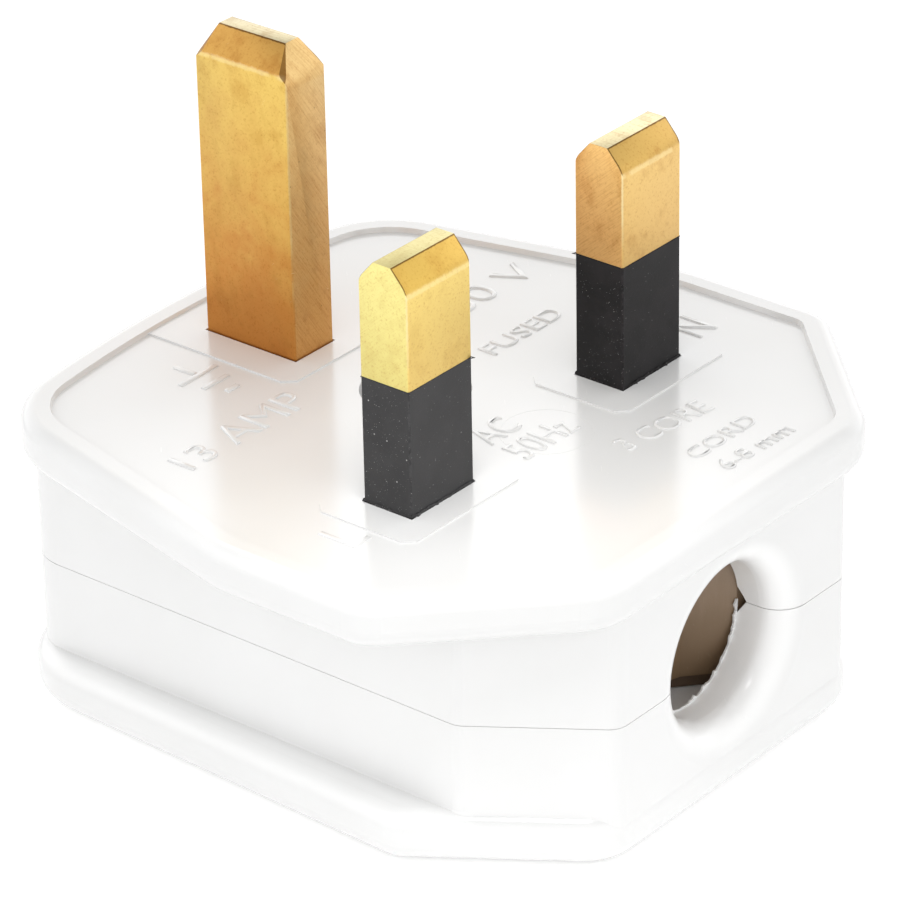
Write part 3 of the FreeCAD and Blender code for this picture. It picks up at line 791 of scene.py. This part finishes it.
@dataclass(frozen=True)
class PressedFibre(Finish):
    """Red-brown pressed fibre with short lighter hairs."""

    slot: str = "fibre"
    name: str = "pressed_fibre"
    brown: Colour = (0.23, 0.085, 0.05)
    dark: Colour = (0.12, 0.04, 0.025)
    hair: Colour = (0.40, 0.22, 0.14)
    tone: Noise = (1.2, 4.0, 0.6)
    hairs: Streak = ((0.0, 0.0, 55.0), (0.06, 0.9, 0.2))
    hair_depth: float = 0.02

    def paint(self, recipe: Recipe) -> None:
        """Lay the finish out as nodes."""
        place = recipe.place()
        tone = recipe.clouds(place, *self.tone)
        colour = recipe.blend(tone.rise(0.35, 0.7), self.brown, self.dark)
        hairs = recipe.streaks(place, *self.hairs)
        colour = recipe.blend(hairs.rise(0.62, 0.72) * 0.6, colour, self.hair)
        normal = recipe.relief(hairs, self.hair_depth)
        recipe.surface(Base_Color=colour, Roughness=0.6 + 0.2 * tone, Normal=normal)


@dataclass(frozen=True)
class PaleFloor(Finish):
    """The studio's white floor, lit faintly from below."""

    slot: str = ""
    name: str = "pale_floor"
    white: Colour = (0.93, 0.93, 0.93)
    shade: Colour = (0.91, 0.91, 0.91)
    tone: Noise = (60.0, 2.0)
    glow: float = 0.24

    def paint(self, recipe: Recipe) -> None:
        """Lay the finish out as nodes."""
        tone = recipe.clouds(recipe.place(), *self.tone)
        colour = recipe.blend(tone, self.white, self.shade)
        recipe.surface(
            Base_Color=colour, Roughness=0.7 + 0.2 * tone,
            Emission_Color=(*WHITE, 1.0), Emission_Strength=self.glow,
        )


ZINC_STEEL = TurnedMetal("screw_steel", "screw_steel_zinc", (0.70, 0.70, 0.71), (0.40, 0.40, 0.41), Axis.Z)


def dress_node(node: str, finish: Finish) -> None:
    """Give a solid of the frame its finish.

    Args:
        node: The solid's name.
        finish: What it is made of.
    """
    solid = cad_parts[node]
    for slot in solid.material_slots:
        slot.material = finish.material()
    log.info("dressed %s in %s", node, finish.name)


def merged_copy(node: str) -> BMesh:
    """A copy of a solid with its loose triangles joined and its flats made whole.

    Args:
        node: The solid's name.

    Returns:
        The copy, as an open mesh to work on.
    """
    mesh = bmesh.new()
    mesh.from_mesh(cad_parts[node].data)
    bmesh.ops.remove_doubles(mesh, verts=mesh.verts, dist=MERGE)
    flat = math.radians(FLAT_ANGLE)
    bmesh.ops.dissolve_limit(mesh, angle_limit=flat, verts=mesh.verts, edges=mesh.edges)
    return mesh


def ridges(mesh: BMesh, above: float, angle: float) -> list[BMEdge]:
    """The sharp outward edges of a mesh above a height.

    Args:
        mesh: The mesh.
        above: The lowest height of either end, in millimetres.
        angle: The least angle between the two faces, in degrees.

    Returns:
        The edges.
    """
    least = math.radians(angle)
    return [
        e for e in mesh.edges
        if e.is_manifold and e.calc_face_angle_signed(0.0) > least
        and min(v.co.z for v in e.verts) > above * MM
    ]


def soften(mesh: BMesh, edges: Iterable[BMEdge], width: float, segments: int) -> None:
    """Round edges off.

    Args:
        mesh: The mesh.
        edges: The edges.
        width: The width of the round on each side, in millimetres.
        segments: How many faces it has across.
    """
    bmesh.ops.bevel(
        mesh, geom=list(edges), offset=width * MM, offset_type="OFFSET", affect="EDGES",
        segments=segments, profile=0.5, material=-1, clamp_overlap=True,
    )


def place_piece(
    mesh: BMesh, name: str, finish: Finish, smooth: float = 30.0, stands_for: Optional[str] = None
) -> None:
    """Turn a finished mesh into a piece that rides with the plug.

    Args:
        mesh: The mesh, which is used up.
        name: The piece's name.
        finish: What it is made of.
        smooth: The largest angle that is shaded smoothly, in degrees.
        stands_for: The solid it is shown instead of, if any.
    """
    data = bpy.data.meshes.new(name)
    mesh.to_mesh(data)
    mesh.free()
    data.shade_smooth()
    data.set_sharp_from_angle(angle=math.radians(smooth))
    data.materials.clear()
    data.materials.append(finish.material())
    piece = bpy.data.objects.new(name, data)
    bpy.context.scene.collection.objects.link(piece)
    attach(piece, BODY)
    if stands_for is not None:
        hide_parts(stands_for)
    log.info("built %s: %d faces", name, len(data.polygons))


def corners_of(geom: Iterable[Any]) -> list[BMVert]:
    """The vertices among the parts of a mesh that an operator hands back."""
    return [part for part in geom if isinstance(part, BMVert)]


WAVE_SHARES = (0.65, 0.35)
WAVE_RATIO = 3.1
WAVE_SWING = 0.9


def wander(angle: float, turns: float, seed: float) -> float:
    """A ragged value from 0 to 1 that closes on itself.

    Args:
        angle: Where on the round it is read, in radians.
        turns: How quickly it changes along the round.
        seed: Which of many such rounds it is.

    Returns:
        The value.
    """
    spot = Vector((math.cos(angle) * turns, math.sin(angle) * turns, seed))
    rough = WAVE_SHARES[0] * noise.noise(spot) + WAVE_SHARES[1] * noise.noise(spot * WAVE_RATIO)
    return min(1.0, max(0.0, 0.5 + WAVE_SWING * rough))


@dataclass
class MouldedShells:
    """The white base and cover, with the ragged flash in their tunnel and the thin flash in their seam.

    seam_scale gives the two rims of the seam's flash as shares, the outer of the outline of
    the shells and the inner of the outer.
    """

    hole: float = 11.2
    inner_y: float = -20.0
    flash_least: float = 0.04
    flash_most: float = 0.42
    flash_thickness: float = 0.14
    flash_steps: int = 150
    flash_turns: float = 9.0
    flash_seed: float = 3.7
    cut_lift: float = 0.2
    seam_height: float = 0.05
    seam_drop: float = 0.055
    seam_scale: Pair = (0.9975, 0.988)
    outline_reach: float = 0.02

    def build(self) -> None:
        """Dress the two shells and add the flash."""
        finish = MouldedWhite()
        for node in ("base", "cover"):
            dress_node(node, finish)
        place_piece(self._flash(), "tunnel_flash", finish)
        place_piece(self._seam(), "seam_flash", finish)

    def _outline(self, level: float) -> BMesh:
        """The outline of the base at a height, open at the tunnel.

        Args:
            level: The height, in metres.

        Returns:
            A mesh of edges alone.
        """
        mesh = merged_copy("base")
        bmesh.ops.bisect_plane(
            mesh, geom=mesh.verts[:] + mesh.edges[:] + mesh.faces[:], dist=MERGE,
            plane_co=(0.0, 0.0, level), plane_no=(0.0, 0.0, 1.0), clear_inner=True, clear_outer=True,
        )
        places = [vert.co.xy for vert in mesh.verts]
        hull = [places[index] for index in geometry.convex_hull_2d(places)]
        sides = list(zip(hull, hull[1:] + hull[:1]))
        inside = []
        for vert in mesh.verts:
            feet = (geometry.intersect_point_line(vert.co.xy, *side)[0] for side in sides)
            if min((vert.co.xy - foot.xy).length for foot in feet) > self.outline_reach * MM:
                inside.append(vert)
        bmesh.ops.delete(mesh, geom=inside, context="VERTS")
        return mesh

    def _seam(self) -> BMesh:
        """The thin skin of flash that lies in the seam, just below the outer surface.

        Returns:
            The skin.
        """
        level = (PARTING_Z + self.cut_lift) * MM
        mesh = self._outline(level)
        outer, inner = self.seam_scale
        bmesh.ops.scale(mesh, vec=(outer, outer, 1.0), verts=mesh.verts)
        grown = bmesh.ops.extrude_edge_only(mesh, edges=mesh.edges[:])["geom"]
        bmesh.ops.scale(mesh, vec=(inner, inner, 1.0), verts=corners_of(grown))
        raised = bmesh.ops.extrude_face_region(mesh, geom=mesh.faces[:], use_keep_orig=True)["geom"]
        bmesh.ops.translate(mesh, vec=(0.0, 0.0, self.seam_height * MM), verts=corners_of(raised))
        fall = (self.cut_lift + self.seam_drop) * MM
        bmesh.ops.translate(mesh, vec=(0.0, 0.0, -fall), verts=mesh.verts)
        bmesh.ops.recalc_face_normals(mesh, faces=mesh.faces)
        return mesh

    def _flash(self) -> BMesh:
        """The thin ragged fin along the lower half of the tunnel's inner end.

        Returns:
            The fin.
        """
        radius = self.hole / 2
        mesh = bmesh.new()
        start = mesh.verts.new((radius * MM, 0.0, 0.0))
        bmesh.ops.spin(
            mesh, geom=[start], axis=(0, 1, 0), cent=(0, 0, 0), angle=math.pi,
            steps=self.flash_steps, use_merge=False,
        )
        grown = bmesh.ops.extrude_edge_only(mesh, edges=mesh.edges[:])["geom"]
        for vert in corners_of(grown):
            angle = math.atan2(vert.co.z, vert.co.x)
            ragged = wander(angle, self.flash_turns, self.flash_seed) ** 2
            depth = self.flash_least + (self.flash_most - self.flash_least) * ragged
            vert.co *= (radius - depth) / radius
        bmesh.ops.recalc_face_normals(mesh, faces=mesh.faces)
        bmesh.ops.solidify(mesh, geom=mesh.faces[:], thickness=self.flash_thickness * MM)
        bmesh.ops.translate(mesh, vec=(0.0, self.inner_y * MM, PARTING_Z * MM), verts=mesh.verts)
        return mesh


@dataclass(frozen=True)
class LinePin:
    """What sets one of the two short pins apart: the tones of its sides, partly tarnish and partly painted
    light and shade, and the burrs of its sleeve.
    """

    side: str
    broad: Fade
    narrow: Fade
    slope: Colour
    crown: Colour
    brush: float
    black: Colour
    rubbed: Colour
    index: float
    dusty: float
    burr: Pair
    seed: float


@dataclass
class PinSet:
    """The three brass pins with softened tips, and the two black sleeves with their moulding flash."""

    panel_z: float = PANEL_Z
    pad_rise: float = 0.12
    tip_round: float = 0.05
    tip_segments: int = 2
    tip_angle: float = 20.0
    smooth: float = 35.0
    earth_half: Pair = (1.985, 3.985)
    earth_crown_half: float = 0.65
    earth_eave: float = 1.9
    earth_edge: float = 0.3
    line_crown_half: float = 0.725
    line_eave: float = 1.75
    line_edge: float = 0.55
    flash_cuts: int = 44
    flash_least: Pair = (0.12, 0.25)
    flash_turns: Pair = (11.0, 8.0)
    brow_share: float = 0.35
    brow_seed: float = 9.0
    foot_flash: Pair = (0.22, 0.26)
    top_flash: Pair = (0.05, 0.07)
    top_seed: float = 4.0
    burr_size: float = 0.22
    burr_reach: float = 0.5
    # The side, slope and crown colours are partly tarnish and partly painted light and shade; the foot
    # colours are painted shade.
    line_pins: tuple[LinePin, ...] = (
        LinePin(
            side="live", broad=((0.88, 0.64, 0.21), (0.90, 0.69, 0.23)),
            narrow=((0.895, 0.78, 0.29), (0.905, 0.81, 0.32)), slope=(0.69, 0.458, 0.11),
            crown=(0.61, 0.545, 0.263), brush=0.12, black=(0.018, 0.017, 0.018),
            rubbed=(0.026, 0.025, 0.026), index=1.45, dusty=1.0, burr=(1.0, -1.0), seed=2.3,
        ),
        LinePin(
            side="neutral", broad=((0.805, 0.535, 0.196), (0.85, 0.595, 0.23)),
            narrow=((0.84, 0.495, 0.183), (0.90, 0.575, 0.22)), slope=(0.635, 0.41, 0.122),
            crown=(0.765, 0.68, 0.424), brush=0.4, black=(0.006, 0.0052, 0.0055),
            rubbed=(0.014, 0.012, 0.013), index=1.3, dusty=0.4, burr=(-1.0, 1.0), seed=7.9,
        ),
    )

    def build(self) -> None:
        """Build the pins, dress the sleeves and add their flash."""
        self._build_earth()
        for pin in self.line_pins:
            self._build_line(pin)

    def _build_earth(self) -> None:
        """Build the long earth pin."""
        low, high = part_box("earth_pin")
        middle = (low + high) / (2 * MM)
        finish = PinBrass(
            name="pin_brass_earth", middle=(middle.x, middle.y),
            half_across=self.earth_half[0], half_along=self.earth_half[1],
            crown_half=self.earth_crown_half, foot=self.panel_z, tip=high.z / MM, broad_axis=Axis.X,
            # The side, slope and crown colours are partly tarnish and partly painted light and shade; the
            # foot colours are painted shade.
            broad=((0.57, 0.238, 0.052), (0.835, 0.59, 0.160)),
            narrow=((0.69, 0.37, 0.121), (0.78, 0.55, 0.243)), slope=(0.645, 0.365, 0.095),
            crown=(0.615, 0.55, 0.36), brush=0.4, gable=0.0, edge=self.earth_edge, eave=self.earth_eave,
        )
        self._round_tip("earth_pin", finish)

    def _build_line(self, pin: LinePin) -> None:
        """Build one of the two short pins and its sleeve.

        Args:
            pin: Which of them, and how it looks.
        """
        low, high = (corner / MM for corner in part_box(f"{pin.side}_pin_sleeve"))
        middle = ((low.x + high.x) / 2, (low.y + high.y) / 2)
        half = ((high.x - low.x) / 2, (high.y - low.y) / 2)
        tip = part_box(f"{pin.side}_pin")[1].z / MM
        brass = PinBrass(
            name=f"pin_brass_{pin.side}", middle=middle, half_across=half[1], half_along=half[0],
            crown_half=self.line_crown_half, foot=high.z, tip=tip, broad_axis=Axis.Y, broad=pin.broad,
            narrow=pin.narrow, slope=pin.slope, crown=pin.crown, brush=pin.brush, gable=1.0,
            edge=self.line_edge, eave=self.line_eave,
        )
        self._round_tip(f"{pin.side}_pin", brass)
        nylon = SleeveNylon(
            name=f"sleeve_nylon_{pin.side}", middle=middle, half=half, black=pin.black,
            rubbed=pin.rubbed, index=pin.index, dusty=pin.dusty,
        )
        dress_node(f"{pin.side}_pin_sleeve", nylon)
        foot_z = self.panel_z + self.pad_rise
        foot = self._flash(middle, half, foot_z, self.foot_flash, pin.seed)
        place_piece(foot, f"{pin.side}_sleeve_foot_flash", nylon)
        top_z = high.z - self.top_flash[1]
        top = self._flash(middle, half, top_z, self.top_flash, pin.seed + self.top_seed, pin.burr)
        place_piece(top, f"{pin.side}_sleeve_top_flash", nylon)

    def _flash(
        self, middle: Pair, half: Pair, z: float, size: Pair, seed: float, burr: Optional[Pair] = None
    ) -> BMesh:
        """A thin ragged frill of moulding flash round a sleeve.

        Args:
            middle: The sleeve's axis, in millimetres.
            half: Half its width and thickness.
            z: The height of the frill's foot.
            size: The most that it stands out, and the most that it rises.
            seed: Which of many ragged edges it has.
            burr: The corner that a burr is left on, as two signs, if any.

        Returns:
            The frill, closed all round.
        """
        mesh, rim, brow = self._frill(middle, half, z)
        centre = Vector((*middle, 0.0)) * MM
        least_out, least_lift = self.flash_least
        for vert in rim + brow:
            away = vert.co - centre
            angle = math.atan2(away.y / half[1], away.x / half[0])
            ragged = wander(angle, self.flash_turns[0], seed) ** 2
            out = size[0] * (least_out + (1.0 - least_out) * ragged)
            lift = 0.0
            if vert in brow:
                out *= self.brow_share
                ragged = wander(angle, self.flash_turns[1], seed + self.brow_seed)
                lift = size[1] * (least_lift + (1.0 - least_lift) * ragged)
            if burr is not None:
                tip = Vector((burr[0] * half[0], burr[1] * half[1], 0.0))
                near = max(0.0, 1.0 - (away.xy.to_3d() / MM - tip).length / self.burr_reach)
                out += self.burr_size * near ** 2
            flat = Vector((away.x / half[0] ** 3, away.y / half[1] ** 3, 0.0)).normalized()
            vert.co += (flat * out + Vector((0.0, 0.0, lift))) * MM
        bmesh.ops.recalc_face_normals(mesh, faces=mesh.faces)
        return mesh

    def _frill(self, middle: Pair, half: Pair, z: float) -> tuple[BMesh, list[BMVert], list[BMVert]]:
        """A frill that still lies against its sleeve, ready to be drawn out.

        Args:
            middle: The sleeve's axis, in millimetres.
            half: Half its width and thickness.
            z: The height of the frill's foot.

        Returns:
            The mesh, the vertices of its rim and those of its brow.
        """
        mesh = bmesh.new()
        spot = Matrix.Translation(Vector((*middle, z)) * MM)
        spread = Matrix.Diagonal((half[0] * MM, half[1] * MM, 1.0, 1.0))
        corners = bmesh.ops.create_circle(
            mesh, segments=4, radius=math.sqrt(2.0), cap_ends=False,
            matrix=spot @ spread @ Matrix.Rotation(math.pi / 4, 4, "Z"),
        )["verts"]
        sides = {e for v in corners for e in v.link_edges}
        bmesh.ops.subdivide_edges(mesh, edges=list(sides), cuts=self.flash_cuts)
        inner = mesh.edges[:]
        outer = bmesh.ops.extrude_edge_only(mesh, edges=inner)["geom"]
        rim = corners_of(outer)
        rim_edges = [e for e in outer if isinstance(e, BMEdge)]
        crest = bmesh.ops.extrude_edge_only(mesh, edges=rim_edges)["geom"]
        brow = corners_of(crest)
        brow_edges = [e for e in crest if isinstance(e, BMEdge)]
        bmesh.ops.bridge_loops(mesh, edges=inner + brow_edges)
        return mesh, rim, brow

    def _round_tip(self, node: str, finish: PinBrass) -> None:
        """Show a pin with the edges of its tip rubbed round.

        Args:
            node: The pin's solid.
            finish: Its brass.
        """
        mesh = merged_copy(node)
        soften(mesh, ridges(mesh, self.panel_z, self.tip_angle), self.tip_round, self.tip_segments)
        place_piece(mesh, f"{node}_worn", finish, self.smooth, node)


@dataclass
class FuseLine:
    """The fuse, its clips and the brass that carries the current inside the plug."""

    def build(self) -> None:
        """Dress every piece of the line."""
        brass = TurnedMetal(
            "terminal_brass", "terminal_brass_drawn", (0.86, 0.63, 0.25), (0.52, 0.32, 0.11), Axis.X
        )
        bronze = TurnedMetal(
            "clip_bronze", "clip_bronze_strip", (0.72, 0.44, 0.24), (0.42, 0.22, 0.11), Axis.Y
        )
        cap = TurnedMetal(
            "fuse_cap", "fuse_cap_plated", (0.80, 0.79, 0.76), (0.52, 0.50, 0.46), Axis.Y, base_rough=0.18
        )
        wire = TurnedMetal(
            "fuse_wire", "fuse_wire_tinned", (0.74, 0.74, 0.73), (0.46, 0.46, 0.45), Axis.Y
        )
        for node in ("live_terminal", "cover_nut", "clip_rivets"):
            dress_node(node, brass)
        dress_node("terminal_screws", ZINC_STEEL)
        dress_node("fuse_tube", FiredCeramic())
        dress_node("fuse_wire", wire)
        for end in ("pin_end", "terminal_end"):
            dress_node(f"fuse_cap_{end}", cap)
            dress_node(f"fuse_clip_{end}", bronze)


@dataclass
class CoverFastening:
    """The cover screw in its well and the washer that keeps it there."""

    def build(self) -> None:
        """Dress the screw and its washer."""
        dress_node("cover_screw", ZINC_STEEL)
        dress_node("cover_screw_washer", PressedFibre())


@dataclass
class CordGrip:
    """The cord grip behind the cable entry."""

    def build(self) -> None:
        """Dress the grip."""
        dress_node("cord_grip", GripNylon())


@dataclass(frozen=True)
class Lettering:
    """A raised word on the pin face, the box it fills in millimetres, and its tilt in degrees."""

    name: str
    text: str
    left: float
    right: float
    low: float
    high: float
    tilt: float = 0.0


@dataclass
class MouldedMarks:
    """The raised ratings, pin letters and earth sign on the pin face, and the gate's ring."""

    panel_z: float = PANEL_Z
    rise: float = 0.11
    sink: float = 0.05
    draft: tuple[Pair, ...] = ((0.035, 0.4), (0.045, 0.25))
    smooth: float = 60.0
    curve_steps: int = 6
    font_merge: float = 1e-4
    stroke: float = 0.45
    sign_middle: Pair = (-7.4, 15.57)
    sign_bars: tuple[Pair, ...] = ((0.0, 1.86), (-1.57, 1.26), (-3.05, 0.6))
    sign_stem: float = 1.9
    sign_round: float = 0.1
    sign_segments: int = 3
    ring_middle: Pair = (0.44, -8.05)
    ring_radius: float = 3.12
    ring_width: float = 0.14
    ring_rise: float = 0.01
    ring_steps: int = 96
    words: tuple[Lettering, ...] = (
        Lettering("mark_rating", "13", -17.7, -14.8, 6.9, 9.2),
        Lettering("mark_current", "AMP", -13.3, -5.6, 6.95, 9.45),
        Lettering("mark_voltage", "250 V", 8.2, 18.95, 6.95, 9.35),
        Lettering("mark_neutral", "N", 17.45, 19.4, -8.1, -5.07),
        Lettering("mark_live", "L", -19.3, -17.6, -8.1, -5.07),
        Lettering("mark_fused", "FUSED", 7.0, 14.8, 1.4, 3.0),
        Lettering("mark_supply", "AC", -3.3, 0.1, -6.5, -4.1),
        Lettering("mark_rate", "50Hz", -3.4, 2.2, -9.6, -7.2),
        Lettering("mark_core", "3 CORE", 1.6, 9.8, -14.6, -12.8, -6.0),
        Lettering("mark_cord", "CORD", 3.4, 10.1, -18.4, -17.0),
        Lettering("mark_size", "6-8 mm", 3.4, 10.4, -21.0, -19.6, -2.0),
    )

    def build(self) -> None:
        """Build every mark in the white of the base."""
        finish = MouldedWhite()
        for word in self.words:
            place_piece(self._letters(word), word.name, finish, self.smooth)
        place_piece(self._sign(), "mark_earth", finish, self.smooth)
        place_piece(self._ring(), "gate_ring", finish, self.smooth)

    def _flat_word(self, word: Lettering) -> BMesh:
        """A word as flat faces, as the font draws it.

        Args:
            word: What it says.

        Returns:
            Its mesh, in the font's own units.
        """
        curve = bpy.data.curves.new(word.name, "FONT")
        curve.body = word.text
        curve.fill_mode = "FRONT"
        curve.resolution_u = self.curve_steps
        holder = bpy.data.objects.new(word.name, curve)
        bpy.context.scene.collection.objects.link(holder)
        shown = holder.evaluated_get(bpy.context.evaluated_depsgraph_get())
        flat = bpy.data.meshes.new_from_object(shown)
        mesh = bmesh.new()
        mesh.from_mesh(flat)
        bpy.data.objects.remove(holder)
        bpy.data.curves.remove(curve)
        bpy.data.meshes.remove(flat)
        bmesh.ops.remove_doubles(mesh, verts=mesh.verts, dist=self.font_merge)
        return mesh

    def _letters(self, word: Lettering) -> BMesh:
        """A raised word with soft flanks.

        Args:
            word: What it says and where.

        Returns:
            Its mesh.
        """
        mesh = self._flat_word(word)
        low = Vector([min(v.co[i] for v in mesh.verts) for i in range(2)])
        high = Vector([max(v.co[i] for v in mesh.verts) for i in range(2)])
        goal = Vector((word.right - word.left, word.high - word.low)) * MM
        size = (goal.x / (high.x - low.x), goal.y / (high.y - low.y), 1.0)
        middle = ((low + high) / 2).to_3d()
        bmesh.ops.translate(mesh, vec=-middle, verts=mesh.verts)
        bmesh.ops.scale(mesh, vec=size, verts=mesh.verts)
        turn = Matrix.Rotation(math.radians(word.tilt), 3, "Z")
        bmesh.ops.rotate(mesh, matrix=turn, cent=(0, 0, 0), verts=mesh.verts)
        spot = Vector(((word.left + word.right) / 2, (word.low + word.high) / 2, self.panel_z - self.sink))
        bmesh.ops.translate(mesh, vec=spot * MM, verts=mesh.verts)
        lifted = bmesh.ops.extrude_face_region(mesh, geom=mesh.faces[:])["geom"]
        step = self.sink + self.rise * (1.0 - sum(lift for _, lift in self.draft))
        bmesh.ops.translate(mesh, vec=(0.0, 0.0, step * MM), verts=corners_of(lifted))
        crown = [f for f in lifted if isinstance(f, BMFace)]
        for narrow, lift in self.draft:
            bmesh.ops.inset_region(
                mesh, faces=crown, thickness=narrow * MM, depth=lift * self.rise * MM,
                use_boundary=True, use_even_offset=False,
            )
        bmesh.ops.recalc_face_normals(mesh, faces=mesh.faces)
        return mesh

    def _sign(self) -> BMesh:
        """The earth sign: a stem on the longest of three bars.

        Returns:
            Its mesh.
        """
        mesh = bmesh.new()
        x, y = self.sign_middle
        thickness = self.rise + self.sink
        middle_z = self.panel_z + (self.rise - self.sink) / 2
        stem_y = y + (self.stroke + self.sign_stem) / 2
        slabs = [(x, y + drop, 2 * half, self.stroke) for drop, half in self.sign_bars]
        slabs.append((x, stem_y, self.stroke, self.sign_stem))
        for slab_x, slab_y, width, depth in slabs:
            size = Matrix.Diagonal((width * MM, depth * MM, thickness * MM, 1.0))
            spot = Matrix.Translation(Vector((slab_x, slab_y, middle_z)) * MM)
            bmesh.ops.create_cube(mesh, size=1.0, matrix=spot @ size)
        top = (self.panel_z + self.rise) * MM
        crown = [e for e in mesh.edges if all(v.co.z > top - MERGE for v in e.verts)]
        soften(mesh, crown, self.sign_round, self.sign_segments)
        return mesh

    def _ring(self) -> BMesh:
        """The faint ring that the moulding gate leaves.

        Returns:
            Its mesh.
        """
        mesh = bmesh.new()
        inner = (self.ring_radius - self.ring_width / 2) * MM
        outer = (self.ring_radius + self.ring_width / 2) * MM
        low = (self.panel_z - self.sink) * MM
        high = (self.panel_z + self.ring_rise) * MM
        section = [(inner, low), (inner, high), (outer, high), (outer, low)]
        loop = [mesh.verts.new((x, 0.0, z)) for x, z in section]
        edges = [mesh.edges.new((a, b)) for a, b in zip(loop, loop[1:] + loop[:1])]
        bmesh.ops.spin(
            mesh, geom=loop + edges, axis=(0, 0, 1), cent=(0, 0, 0), angle=2 * math.pi,
            steps=self.ring_steps, use_merge=True,
        )
        bmesh.ops.remove_doubles(mesh, verts=mesh.verts, dist=MERGE)
        bmesh.ops.recalc_face_normals(mesh, faces=mesh.faces)
        spot = Vector((*self.ring_middle, 0.0)) * MM
        bmesh.ops.translate(mesh, vec=spot, verts=mesh.verts)
        return mesh


@dataclass(frozen=True)
class SoftBox:
    """A square studio light, with its place and aim in millimetres and its spread in degrees."""

    name: str
    place: Spot
    aim: Spot
    size: float
    watts: float
    spread: float

    def build(self) -> None:
        """Hang the light."""
        lamp = bpy.data.lights.new(self.name, "AREA")
        lamp.shape = "SQUARE"
        lamp.size = self.size * MM
        lamp.energy = self.watts
        lamp.spread = math.radians(self.spread)
        holder = bpy.data.objects.new(self.name, lamp)
        bpy.context.scene.collection.objects.link(holder)
        place = Vector(self.place) * MM
        holder.location = place
        holder.rotation_euler = (Vector(self.aim) * MM - place).to_track_quat("-Z", "Y").to_euler()


@dataclass
class Studio:
    """A white tent round a white floor, and the camera at the photograph's angle.

    The tent is brightest behind the plug, where it is mirrored in the pin face, and a soft
    box hangs close over the front.
    """

    floor_size: float = 6000.0
    floor_drop: float = 0.02
    floor_cells: int = 4
    tent_level: float = 1.29
    tent_top: float = 0.30
    tent_top_starts: Pair = (0.55, 0.95)
    tent_back: float = 0.68
    tent_back_starts: Pair = (0.3, 0.75)
    tent_back_ends: Pair = (0.5, 0.8)
    aim: Spot = (-5.406, -4.639, 21.0)
    azimuth: float = -50.511
    elevation: float = 28.143
    roll: float = -1.137
    distance: float = 332.09
    lens: float = 203.15
    sensor: float = 36.0
    clip: Pair = (10.0, 20000.0)
    top_box: SoftBox = SoftBox(
        name="top_box", place=(-29.0, -24.0, 81.0), aim=(-19.0, -16.0, 21.0),
        size=34.0, watts=0.0035, spread=58.0,
    )

    def build(self) -> None:
        """Build the floor, the tent, the soft box and the camera."""
        self._lay_floor()
        self._raise_tent()
        self.top_box.build()
        self._set_camera()
        bpy.context.scene.view_settings.view_transform = "Standard"

    def _lay_floor(self) -> None:
        """Lay the floor just under the plug."""
        mesh = bmesh.new()
        spot = Matrix.Translation((0.0, 0.0, CAD_BOX[0].z - self.floor_drop * MM))
        cells = self.floor_cells
        half = self.floor_size * MM / 2
        bmesh.ops.create_grid(mesh, x_segments=cells, y_segments=cells, size=half, matrix=spot)
        data = bpy.data.meshes.new("floor")
        mesh.to_mesh(data)
        mesh.free()
        data.materials.append(PaleFloor().material())
        floor = bpy.data.objects.new("floor", data)
        bpy.context.scene.collection.objects.link(floor)

    def _raise_tent(self) -> None:
        """Surround the plug with soft white light."""
        world = bpy.data.worlds.new("tent")
        world.use_nodes = True
        recipe = Recipe(world.node_tree)
        way = recipe.node("ShaderNodeTexCoord", output="Generated")
        turn = math.radians(self.azimuth)
        up = recipe.along(way, Axis.Z)
        behind = recipe.along(way, Axis.Y) * math.cos(turn) - recipe.along(way, Axis.X) * math.sin(turn)
        level = self.tent_level + (self.tent_top - self.tent_level) * up.rise(*self.tent_top_starts)
        glow = behind.rise(*self.tent_back_starts) * up.fall(*self.tent_back_ends)
        level = level + self.tent_back * glow
        light = recipe.node("ShaderNodeBackground", None, {"Color": (*WHITE, 1.0), "Strength": level})
        recipe.node("ShaderNodeOutputWorld", None, {"Surface": light})
        bpy.context.scene.world = world

    def _set_camera(self) -> None:
        """Put the camera where the photograph was taken from."""
        turn = math.radians(self.azimuth)
        lift = math.radians(self.elevation)
        back = Vector((math.sin(turn) * math.cos(lift), -math.cos(turn) * math.cos(lift), math.sin(lift)))
        data = bpy.data.cameras.new("camera")
        data.lens = self.lens
        data.sensor_width = self.sensor
        data.clip_start, data.clip_end = (limit * MM for limit in self.clip)
        camera = bpy.data.objects.new("camera", data)
        bpy.context.scene.collection.objects.link(camera)
        look = (-back).to_track_quat("-Z", "Y").to_matrix().to_4x4()
        place = Matrix.Translation((Vector(self.aim) + back * self.distance) * MM)
        camera.matrix_world = place @ look @ Matrix.Rotation(math.radians(self.roll), 4, "Z")
        bpy.context.scene.camera = camera


def main() -> None:
    """Build the plug's sub-assemblies and the studio in order."""
    logging.basicConfig(level=logging.INFO, format="%(message)s")
    for assembly in (
        MouldedShells(), PinSet(), FuseLine(), CordGrip(), CoverFastening(), MouldedMarks(), Studio(),
    ):
        log.info("%s", type(assembly).__name__)
        assembly.build()


if __name__ == "__main__":
    main()
